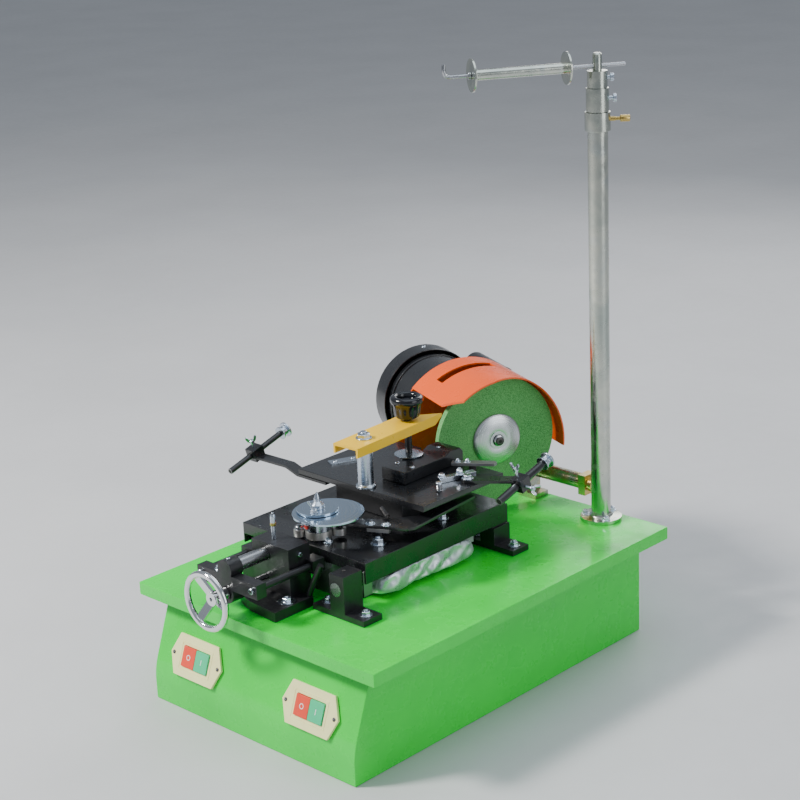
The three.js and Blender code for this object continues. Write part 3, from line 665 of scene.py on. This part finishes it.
def switch_details():
    for side, x in (("left", -107.5), ("right", 104.5)):
        piece = Piece(f"switch_trim_{side}")
        face = slope_place(x, 73, 4.3)
        for sign in (-1, 1):
            place = face @ Matrix.Translation((sign * 42.3, 0, 0))
            piece.lathe([[2.6, -0.2], [2.6, 0.4], [1.9, 0.8]], place, DARK_STEEL, sides=18)
            piece.block((-1.9, -0.25, 0.7), (1.9, 0.25, 0.86), place, ZINC)
        outer = [(-29, -17.5), (29, -17.5), (29, 17.5), (-29, 17.5)]
        rims = [(outer[k], outer[(k + 1) % 4]) for k in range(4)]
        for (ax, ay), (bx, by) in rims:
            piece.tube([face @ Vector((ax, ay, 0.05)), face @ Vector((bx, by, 0.05))], 0.45, CREAM, sides=8)
        piece.done("frame", bevel=0.12)
        for kind, sign in (("stop", -1), ("start", 1)):
            mark = Piece(f"{kind}_mark_{side}")
            place = slope_place(x, 73, 6.3) @ Matrix.Translation((sign * 12.25, 0, 0))
            if kind == "stop":
                mark.ring([[2.6, 0], [3.6, 0], [3.6, 0.18], [2.6, 0.18]], place, MARK, sides=28)
            else:
                mark.block((-0.55, -3.6, 0), (0.55, 3.6, 0.18), place, MARK)
            mark.done(f"{kind}_button_{side}", bevel=0)


def cabinet_details():
    screws = Piece("cabinet_screws")
    for x in (-120, 0, 120):
        screws.dome((x, 264, 118), (0, 1, 0), 4.2, 2.2, slot=True)
    screws.done("frame", bevel=0.15)
    vents = Piece("rear_louvres")
    for n in range(7):
        z = 62 + n * 7.5
        vents.slab([(20, 0), (80, 0), (78, 2.6), (22, 2.6)], -0.4, 1.8, facing((0, 264, z), (0, 1, 0)), GREEN)
    vents.done("frame", bevel=0.4)


# ---------------------------------------------------------------- brackets and slide
def bracket_details():
    piece = Piece("bracket_bolts")
    seats = [(-105, -139.2)]
    for middle, y in ((72.5, -188.2), (72.5, 93.2), (-131, 93.2)):
        seats += [(middle + offset, y) for offset in (-33, 33)]
    for n, (x, y) in enumerate(seats):
        piece.bolt((x, y, 162.5), UP, 10, 4.6, washer=8.5, stud=2.5, spin=0.4 + n)
    piece.lathe([[2.2, 0], [2.2, 1.2], [1.6, 1.6]], facing((70, -188, 212), UP), DARK_STEEL, sides=14)
    piece.done("frame", bevel=0.3)
    gusset = Piece("bracket_gusset")
    outline = [(-26, 163), (-4, 163), (29, 163), (29, 200)]
    gusset.slab(outline, 0, 1.6, Matrix.Translation((0, -170, 0)) @ UPRIGHT, SHEET)
    gusset.done("frame", bevel=0.2)


def slide_details():
    piece = Piece("slide_fasteners")
    piece.ring([[6.5, 0], [11.5, 0], [11.5, 0.9], [6.5, 0.9]], facing((7, -229, 168), UP), ZINC, sides=24)
    piece.bolt((7, -229, 168), UP, 10, 4, washer=6.6, stud=2)
    piece.bolt((-68, -222, 168), UP, 10, 4, washer=7.5, stud=2)
    ring = [[3.6, -0.5], [3.9, 0.2], [3.9, 3.6], [3.2, 4]]
    point = [[3.6, 0], [3.5, 7], [3.1, 11], [1.2, 13.4]]
    sleeve = [[3.1, 0], [3.1, 18]]
    for profile, z, look in ((ring, 251.4, BRASSY), (point, 255.3, ZINC), (sleeve, 233.2, ZINC)):
        piece.lathe(profile, facing((-38, -204, z), UP), look, sides=20)
    piece.socket((-62.9, -202, 222), (-1, 0, 0), 3.2, 3)
    piece.socket((5.1, -202, 222), (1, 0, 0), 3.2, 3)
    piece.done("frame", bevel=0.25)
    strut = Piece("slide_strut")
    strut.tube([(33, -192, 211), (24, -196, 190), (15, -199, 168)], [4.2, 4.2, 4.6], CASTING, sides=14)
    strut.done("frame", bevel=0)
    yoke = Piece("yoke_fasteners")
    yoke.bolt((-58, -280, 212), UP, 8, 4, washer=6.5)
    yoke.socket((-84.5, -288, 203.7), (0, -1, 0), 4.2, 3.6)
    yoke.socket((11, -288, 203.7), (0, -1, 0), 4.2, 3.6)
    yoke.dome((-39.5, -280, 231.2), UP, 2.6, 1.4, slot=True)
    yoke.done("infeed_slide", bevel=0.25)
    tip = Piece("follower_nut")
    tip.washer(facing((-40.8, -157.7, 231.2), UP), 6.2, 1.0, ZINC)
    cap = [[5.6, 0], [5.8, 2], [4.8, 3.6], [2.4, 4.6]]
    tip.lathe(cap, facing((-40.8, -157.7, 232.1), UP), STEEL, sides=20)
    tip.done("infeed_slide", bevel=0.2)


# ---------------------------------------------------------------- table and its fittings
def table_details():
    piece = Piece("table_fasteners")
    piece.bolt((-3.2, -143.7, TABLE_TOP), UP, 8, 2.6, washer=7.2, stud=3)
    piece.bolt((52, -108, TABLE_TOP), UP, 13, 7, washer=10, stud=2.5)
    piece.bolt((57.6, 6.7, TABLE_TOP), UP, 10, 5, washer=8.5, stud=6)
    piece.block((-24, -167.5, 197), (8.6, -165.2, 203), IDENTITY, ZINC)
    for x, y in ((-80, -30), (16, -30), (-80, 60), (16, 60)):
        place = facing((x, y, VISE_TOP - 8.2), UP)
        piece.lathe([[4.2, -0.4], [4.2, 0.12], [3.6, 0.2]], place, DARK_STEEL, sides=18)
    piece.done("table", bevel=0.3)

    plate = Piece("vise_fittings")
    strip = Matrix.Translation((-119, 3, VISE_TOP)) @ Matrix.Rotation(math.radians(66), 4, "Z")
    plate.slab([(-21, -8), (21, -8), (21, 8), (-21, 8)], 0.05, 2.0, strip, ZINC)
    for offset in (-13, 13):
        plate.dome(strip @ Vector((offset, 0, 2.0)), UP, 3.0, 1.6, slot=True)
    plate.bolt((53, 47.8, 266), UP, 8, 5.5, washer=6.5, stud=2.5)
    plate.bolt((42, 25, 266), UP, 8, 3.5, washer=6.0)
    spring = []
    turns = 6
    for n in range(turns * 12 + 1):
        a = 2 * math.pi * n / 12
        spring.append((62 + 3.6 * math.cos(a), -2 + 3.6 * math.sin(a), 259.8 + n * 8.5 / (turns * 12)))
    plate.tube(spring, 0.7, STEEL, sides=8)
    stem = [[2.2, 0], [2.2, 9.5], [4.6, 9.8], [4.6, 12], [3.6, 13]]
    plate.lathe(stem, facing((62, -2, VISE_TOP), UP), ZINC, sides=16)
    bar = Matrix.Translation((44, 84, 266.6)) @ Matrix.Rotation(math.radians(35), 4, "Z")
    plate.slab([(-28, -6), (30, -6), (33, 0), (30, 6), (-28, 6)], 0, 4, bar, SHEET)
    plate.lathe([[5, -7.4], [5, 0.2]], bar, DARK_STEEL, sides=16)
    for offset in (-20, -7):
        plate.dome(bar @ Vector((offset, 0, 4)), UP, 3.6, 5.0)
        plate.washer(facing(bar @ Vector((offset, 0, 4)), UP), 4.6, 1.0, ZINC)
    plate.done("table", bevel=0.25)

    hanger = Piece("cover_bracket")
    hanger.block((80.4, -166.8, 171), (82.2, -152, 206), IDENTITY, SHEET)
    hanger.block((66, -166.8, 171), (82.2, -152, 172.8), IDENTITY, SHEET)
    hanger.done("table", bevel=0.3)


def jaw_details():
    piece = Piece("jaw_screws")
    piece.dome((-12, 78, 281), UP, 3.2, 1.6, slot=True)
    piece.dome((-22, 8, 276.5), UP, 3.6, 1.8, slot=True)
    piece.dome((5, 8, 276.5), UP, 3.6, 1.8, slot=True)
    piece.done("jaw", bevel=0.2)


def feed_arm_details():
    piece = Piece("feed_arm_fasteners")
    for x, y in ((37, -106), (55.5, -96)):
        piece.washer(facing((x, y, 240.3), UP), 6.6, 1.2, ZINC)
        piece.dome((x, y, 241.4), UP, 4.6, 2.6, slot=True)
    piece.lathe([[3.6, 0], [3.6, 2.2], [2.8, 2.6], [2.8, 5], [4.0, 5.6], [3.4, 9], [1.6, 10.5]],
                facing((-2.9, -122.4, 240.3), UP), DARK_STEEL, sides=16)
    pad = Matrix.Translation((46, -100, 236.3)) @ Matrix.Rotation(0.45, 4, "Z")
    piece.block((-14, -6.5, -5.0), (16, 6.5, -0.05), pad, SHEET)
    piece.done("feed_arm", bevel=0.25)
    spring = Piece("pawl_spring")
    low, high = Vector((46, -83, 245)), Vector((22, -69, 246))
    along = (high - low).normalized()
    side = along.orthogonal().normalized()
    other = along.cross(side)
    coil = []
    turns = 11
    for n in range(turns * 10 + 1):
        a = 2 * math.pi * n / 10
        middle = low + (high - low) * (n / (turns * 10))
        coil.append(middle + (side * math.cos(a) + other * math.sin(a)) * 3.2)
    spring.tube(coil, 0.62, DARK_STEEL, sides=7)
    spring.done("feed_arm", bevel=0)


def cam_details():
    piece = Piece("cam_fittings")
    top = facing((-21, -142, 260.3), UP)
    piece.washer(top, 9.5, 1.2, ZINC)
    piece.hexagon(top @ Matrix.Translation((0, 0, 1.1)), 13, 6, ZINC)
    point = [[4.2, 0], [4.2, 5], [3.2, 8], [1.2, 13.5]]
    piece.lathe(point, top @ Matrix.Translation((0, 0, 7)), ZINC, sides=18)
    lever = Vector((-9.5, -159, 260.3))
    piece.washer(facing(lever, UP), 5.4, 1.0, ZINC)
    piece.hexagon(facing(lever + Vector((0, 0, 1)), UP), 8, 4, ZINC)
    bend = [lever + Vector(step) for step in ((0, 0, 4), (-3, -0.5, 8), (-9, -1, 14))]
    piece.tube(bend, [1.8, 1.7, 1.5], ZINC, sides=10)
    angles = [math.radians(217 + n * 6) for n in range(9)]
    arc = [(17.3 * math.cos(a), 17.3 * math.sin(a)) for a in angles]
    arc += [(18.8 * math.cos(a), 18.8 * math.sin(a)) for a in reversed(angles)]
    arc.reverse()
    piece.slab(arc, 235, 247, Matrix.Translation(CAM_AT), RED_PAINT)
    piece.done("cam", bevel=0.25)


def clamp_details():
    group = Matrix.Translation(CLAMP_AT) @ Matrix.Rotation(CLAMP_TURN, 4, "Z")
    post = Piece("post_bolt")
    top = group @ Vector((0, 0, 326.4))
    post.washer(facing(top, UP), 11, 1.8, ZINC, sides=32)
    post.hexagon(facing(top + Vector((0, 0, 1.7)), UP, 0.3), 16, 5.4, ZINC)
    post.thread(facing(top + Vector((0, 0, 7)), UP), 4.6, 3, ZINC)
    post.done("table", bevel=0.35)

    knob = Piece("star_knob")
    base = group @ Matrix.Translation((0, 89, 0))

    def lobes(angle, height):
        return 1.0 - 0.09 * (0.5 - 0.5 * math.cos(10 * angle)) ** 1.5 if 332 < height < 351 else 1.0

    profile = [
        [4.7, 281], [4.7, 331.2], [15, 331.2], [16.4, 332.6], [17.4, 337], [18.4, 343], [19.6, 349], [21.2, 351.2],
        [22.4, 353.2], [22.4, 357.4], [21.2, 359.6], [17.8, 361], [14.8, 360.4], [13.2, 358.6], [12.6, 354],
        [4, 353.4], [4, 355.6], [1, 355.6],
    ]
    knob.lathe(profile, base, PHENOLIC, sides=96, lobes=lobes)
    knob.thread(base @ Matrix.Translation((0, 0, 281.5)), 4.95, 40, DARK_STEEL, pitch=1.5)
    made = knob.done("clamp_knob", bevel=0, sharp=60)
    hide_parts("clamp_knob")


# ---------------------------------------------------------------- supports
def support_place(at):
    return Matrix.Translation(Vector(at)) @ Matrix.Rotation(SUPPORT_TILT, 4, "X")


def support_details():
    left = support_place((-244, -47, 259))
    right = support_place((125, 87.5, 258))
    piece = Piece("support_screws")
    piece.wing_screw(left @ Vector((0, 0, 9)), (0, -0.28, 0.96), stem=7, span=8, spin=0.9)
    piece.wing_screw(right @ Vector((-3, 0, 9)), (-0.1, -0.2, 0.97), stem=9, span=8, spin=0.4)
    piece.wing_screw(right @ Vector((9, -2, -2)), (0.97, 0.2, -0.12), stem=9, span=8, spin=0.8)
    piece.bolt((68, 47, 263.5), UP, 10, 4, washer=8)
    piece.bolt((-102, -47, 250.9), UP, 8, 0.1)
    piece.done("table", bevel=0.2)
    for side, place, length, bore, outer in (("left", left, 50, 2.9, 4.1), ("right", right, 46, 3.8, 5.3)):
        axle = Piece(f"roller_axle_{side}")
        along = place.to_3x3() @ Vector((0, 1, 0))
        end = place @ Vector((0, length, 0))
        pin = [[2.1, -2], [2.1, 13.4], [3.6, 13.4], [3.6, 15.4], [2.4, 16.2]]
        axle.lathe(pin, facing(end, along), ZINC, sides=16)
        hollow = facing(place @ Vector((0, -length, 0)), -along)
        # A thin black disc fills the bore at the open end: painted shade for the hollow inside.
        axle.lathe([[bore, -0.02], [bore, 0.12]], hollow, RUBBER_AND_HOLE_SHADE, sides=20)
        axle.ring([[bore, 0], [outer, 0], [outer, 0.25], [bore, 0.25]], hollow, SHEET, sides=24)
        axle.done(f"support_rod_{side}", bevel=0.15)


# ---------------------------------------------------------------- grinding head
def head_place():
    """Local X along the spindle towards the wheel, local Y across, local Z up."""
    return Matrix.Translation(HEAD_AT) @ Matrix.Rotation(HEAD_TURN, 4, "Z")


def head_details():
    place = head_place()
    piece = Piece("motor_trim")
    for x, r in ((-99, 70.2), (-206, 70.4)):
        band = place @ Matrix.Translation((x, 0, 0)) @ SIDEWAYS
        piece.ring([[66, 0], [r, 0], [r, 5], [66, 5]], band, BLACK, sides=64)
    for n in range(4):
        a = math.radians(45 + 90 * n)
        at = place @ Vector((-103, 58 * math.cos(a), 58 * math.sin(a)))
        piece.dome(at, place.to_3x3() @ Vector((1, 0, 0)), 4, 3)
    cap = place @ Matrix.Translation((-100, 64, 50)) @ Matrix.Rotation(-math.pi / 2, 4, "Y")
    piece.ring([[12, -0.5], [18.4, -0.5], [18.4, 3], [12, 3]], cap, BLACK, sides=32)
    piece.done("grinding_head", bevel=0.5)

    grille = Piece("fan_grille")
    rear = place @ Matrix.Translation((-252, 0, 0)) @ Matrix.Rotation(-math.pi / 2, 4, "Y")
    for inner in (22, 34, 46, 58):
        outer = inner + 3.4
        grille.ring([[inner, 0], [outer, 0], [outer, 0.9], [inner, 0.9]], rear, RUBBER_AND_HOLE_SHADE, sides=56)
    for n in range(8):
        a = math.pi * n / 4
        spoke = rear @ Matrix.Rotation(a, 4, "Z")
        grille.block((16, -2.2, 0), (64, 2.2, 1.3), spoke, BLACK)
    grille.lathe([[15, 0], [15, 1.3], [12, 2.0], [1, 2.0]], rear, BLACK, sides=32)
    for n in range(3):
        a = math.radians(90 + 120 * n)
        at = place @ Vector((-233, 75.6 * math.cos(a), 75.6 * math.sin(a)))
        grille.dome(at, place.to_3x3() @ Vector((0, math.cos(a), math.sin(a))), 3.4, 2.0, slot=True)
    grille.done("grinding_head", bevel=0.2)

    hub = Piece("spindle_nut")
    nose = place @ SIDEWAYS
    hub.ring([[8.6, 4.8], [12.5, 4.8], [12.5, 6.6], [8.6, 6.6]], nose, FLANGE, sides=32)
    hub.thread(nose @ Matrix.Translation((0, 0, 8)), 6.2, 4.6, DARK_STEEL, pitch=1.0)
    # A thin black disc on the spindle end: painted shade for the centre hole.
    hub.lathe([[2.6, 12.45], [2.6, 12.7]], nose, RUBBER_AND_HOLE_SHADE, sides=16)
    hub.done("spindle", bevel=0.2)


# ---------------------------------------------------------------- mast
def mast_details():
    piece = Piece("mast_fittings")
    x, y = MAST_AT.x, MAST_AT.y
    for n in range(3):
        a = math.radians(-35 + 120 * n)
        at = (x + 22.2 * math.cos(a), y + 22.2 * math.sin(a), 159.8)
        piece.bolt(at, UP, 8, 4, washer=6.2, stud=1.5, spin=n)
    side = Vector((0.72, 0.69, 0))
    piece.lathe([[3, -3], [3, 6], [2.4, 6.2], [2.4, 12], [4.6, 12.4], [4.6, 24], [3.8, 25]],
                facing(MAST_AT + Vector((0, 0, 711)) + side * 17, side), BRASSY, sides=18)
    piece.done("frame", bevel=0.25)
    upper = Piece("extension_screw")
    place = facing(MAST_AT + Vector((0, 0, 738)) + side * 15, side)
    upper.lathe([[2.6, -3], [2.6, 5], [5.6, 5.4], [5.6, 9], [4.8, 9.8]], place, ZINC, sides=18)
    upper.done("mast_extension", bevel=0.25)
    head = Piece("head_screw")
    place = facing(MAST_AT + Vector((0, 0, 765)) + side * 13.3, side)
    head.lathe([[2.4, -3], [2.4, 3], [5.2, 3.4], [5.2, 7.5], [4.4, 8.2]], place, ZINC, sides=18)
    head.done("mast_head", bevel=0.25)
    rod = Piece("cross_rod_collars")
    across = Matrix.Rotation(CROSS_TURN, 4, "Z") @ Matrix.Rotation(-math.pi / 2, 4, "Y")
    place = Matrix.Translation(MAST_AT + Vector((0, 0, 780))) @ across
    for far in (36.4, 169.4):
        rod.lathe([[5, far], [5, far + 3.2]], place, STEEL, sides=20)
    rod.done("cross_rod", bevel=0.3)


# ---------------------------------------------------------------- dust cover
COVER = {"x0": -71, "x1": 85.5, "y0": -132, "y1": 39, "floor": 157.4}


def cover_mesh():
    """The sewn shape of the cover: a tub with rounded corners, its rim first."""
    x0, x1, y0, y1 = COVER["x0"], COVER["x1"], COVER["y0"], COVER["y1"]
    cx, cy, hx, hy = (x0 + x1) / 2, (y0 + y1) / 2, (x1 - x0) / 2, (y1 - y0) / 2
    around = 176

    def perimeter(n, inset):
        a = 2 * math.pi * n / around
        ex, ey = max(hx - inset, 1), max(hy - inset, 1)
        p = 9.0
        c, s = math.cos(a), math.sin(a)
        r = (abs(c / ex) ** p + abs(s / ey) ** p) ** (-1 / p)
        return cx + r * c, cy + r * s, a

    rows = [
        (1.0, 0.0), (-0.6, 0.12), (-1.6, 0.25), (-2.2, 0.4), (-2.4, 0.55), (-1.4, 0.7), (1.2, 0.83), (5.0, 0.93),
        (10.5, 0.98), *((inset, 1.0) for inset in range(17, 67, 7)), (72, 1.0), (76.5, 1.0),
    ]
    verts, faces = [], []
    for inset, depth in rows:
        for n in range(around):
            x, y, a = perimeter(n, inset)
            right = max(0.0, math.cos(a)) ** 4
            left = max(0.0, -math.cos(a)) ** 4
            rim = 180.3 + 8.2 * min(1, right * 3) + 22 * min(1, left * 2)
            z = rim + (COVER["floor"] - rim) * depth
            ripple = noise.noise(Vector((x * 0.05, y * 0.05, z * 0.08)) + Vector((3.1, 7.7, 1.3)))
            fold = math.sin(a * 17 + 2.2 * noise.noise(Vector((x * 0.02, y * 0.02, 5))) * 3) * 1.1
            crease = abs((y * 0.9 - (z - COVER["floor"]) * 1.3 + 9 * ripple) / 34 % 1 - 0.5) * 2
            inward = 6.5 * crease ** 1.4 * right * (1 if inset < 6 else 0)
            share = min(1, depth * 3) * (1 if inset < 12 else 0.25)
            out = (ripple * 1.2 + 0.5 * fold * (0.3 + depth) - inward) * share
            verts.append(((x + out * math.cos(a)) * MM, (y + out * math.sin(a)) * MM,
                          (z + (ripple * 1.2 if inset >= 12 else 0) + (1.2 if inset >= 12 else 0)) * MM))
    for row in range(len(rows) - 1):
        for n in range(around):
            m = (n + 1) % around
            a, b = row * around, (row + 1) * around
            faces.append((a + n, b + n, b + m, a + m))
    faces.append(tuple((len(rows) - 1) * around + n for n in range(around)))
    mesh = bpy.data.meshes.new("dust_cover_cloth")
    mesh.from_pydata(verts, [], faces)
    mesh.update()
    return mesh, around


def cover():
    mesh, around = cover_mesh()
    obj = bpy.data.objects.new("dust_cover_cloth", mesh)
    SCENE.collection.objects.link(obj)
    drape(obj, around)
    for face in obj.data.polygons:
        face.use_smooth = True
    obj.data.materials.append(SILVER)
    finer = obj.modifiers.new("finer", "SUBSURF")
    finer.levels = finer.render_levels = 1
    skin = obj.modifiers.new("skin", "SOLIDIFY")
    skin.thickness = 0.5 * MM
    skin.offset = -1
    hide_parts("dust_cover")
    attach(obj, "table")


def level_sheet(name, half_x, half_y, z):
    """A flat rectangular mesh at a height, in metres."""
    corners = [(-half_x, -half_y, z), (half_x, -half_y, z), (half_x, half_y, z), (-half_x, half_y, z)]
    mesh = bpy.data.meshes.new(name)
    mesh.from_pydata(corners, [], [(0, 1, 2, 3)])
    return mesh


def drape(obj, around):
    """Lets the slack cloth crumple: pinned at its rim, a little larger than its space, over the top plate."""
    rim = obj.vertex_groups.new(name="rim")
    rim.add(list(range(around)), 1.0, "REPLACE")
    rest = [v.co.copy() for v in obj.data.vertices]
    ground = level_sheet("ground", 0.3, 0.4, 0.1556)
    floor = bpy.data.objects.new("ground", ground)
    SCENE.collection.objects.link(floor)
    floor.modifiers.new("collision", "COLLISION")
    floor.collision.thickness_outer = 0.0008
    cloth = obj.modifiers.new("cloth", "CLOTH")
    settings = cloth.settings
    settings.quality = 6
    settings.mass = 0.15
    settings.tension_stiffness = 18
    settings.compression_stiffness = 18
    settings.shear_stiffness = 6
    settings.bending_stiffness = 0.15
    settings.vertex_group_mass = "rim"
    settings.shrink_min = -0.07
    settings.use_pressure = True
    settings.uniform_pressure_force = 0.6
    settings.effector_weights.gravity = 0.5
    cloth.collision_settings.distance_min = 0.0008
    for number in range(1, 22):
        SCENE.frame_set(number)
    shaped = obj.evaluated_get(bpy.context.evaluated_depsgraph_get()).data
    moved = [v.co.copy() for v in shaped.vertices]
    obj.modifiers.remove(cloth)
    limit = 7 * MM
    widest, lowest = 0.0905, 0.1558
    for vert, start, end in zip(obj.data.vertices, rest, moved):
        step = end - start
        if step.length > limit:
            step = step.normalized() * limit
        vert.co = start + step
        vert.co.x = min(vert.co.x, widest)
        vert.co.z = max(vert.co.z, lowest)
    bpy.data.objects.remove(floor)
    SCENE.frame_set(1)


# ---------------------------------------------------------------- stage, lights, camera
def stage():
    size = 25.0
    mesh = level_sheet("floor", size, size, -0.0005)
    floor = bpy.data.objects.new("floor", mesh)
    SCENE.collection.objects.link(floor)
    s = Shader("pale_floor")
    s.base(s.colour(s.noise(3, 3), [(0.3, (0.56, 0.56, 0.57)), (0.7, (0.6, 0.6, 0.61))]))
    s.rough(s.noise(40, 3), 0.55, 0.7)
    s.bump(s.noise(300, 2), 0.05, 0.1)
    mesh.materials.append(s.material)


def area_light(name, at, target, size, energy, colour=(1, 1, 1)):
    data = bpy.data.lights.new(name, "AREA")
    data.shape = "RECTANGLE"
    data.size, data.size_y = size
    data.energy = energy
    data.color = colour
    lamp = bpy.data.objects.new(name, data)
    SCENE.collection.objects.link(lamp)
    lamp.location = at
    lamp.rotation_mode = "QUATERNION"
    lamp.rotation_quaternion = (Vector(at) - Vector(target)).to_track_quat("Z", "Y")


def lights():
    world = bpy.data.worlds.new("studio")
    SCENE.world = world
    world.use_nodes = True
    world.node_tree.nodes["Background"].inputs["Color"].default_value = (0.62, 0.68, 0.76, 1)
    world.node_tree.nodes["Background"].inputs["Strength"].default_value = 0.5
    middle = (0, 0, 0.25)
    area_light("key", (-1.5, -1.9, 2.4), middle, (0.6, 0.6), 150, (1.0, 0.98, 0.94))
    area_light("sky", (0.3, 0.4, 2.9), middle, (2.6, 2.6), 34, (0.8, 0.9, 1.0))
    area_light("side", (2.6, 0.4, 1.1), middle, (1.4, 1.8), 20, (0.95, 0.98, 1.0))
    area_light("rim", (-0.6, 2.4, 1.5), middle, (1.8, 1.0), 22, (1.0, 1.0, 1.0))


def camera():
    azimuth, elevation, roll = (math.radians(v) for v in (44.41, 18.12, -2.51))
    data = bpy.data.cameras.new("camera")
    data.sensor_width = 36
    data.lens = 84.26
    data.clip_start, data.clip_end = 0.05, 50
    cam = bpy.data.objects.new("camera", data)
    SCENE.collection.objects.link(cam)
    level = math.cos(elevation)
    back = Vector((math.sin(azimuth) * level, -math.cos(azimuth) * level, math.sin(elevation)))
    right = (-back).cross(Vector(UP)).normalized()
    up = right.cross(-back)
    rolled_right = right * math.cos(roll) + up * math.sin(roll)
    rolled_up = up * math.cos(roll) - right * math.sin(roll)
    turn = Matrix((rolled_right, rolled_up, back)).transposed()
    cam.matrix_world = Matrix.Translation((1.6226, -1.6604, 1.1311)) @ turn.to_4x4()
    SCENE.camera = cam


camera()
switch_details()
cabinet_details()
bracket_details()
slide_details()
table_details()
jaw_details()
feed_arm_details()
cam_details()
clamp_details()
support_details()
head_details()
mast_details()
cover()
stage()
lights()
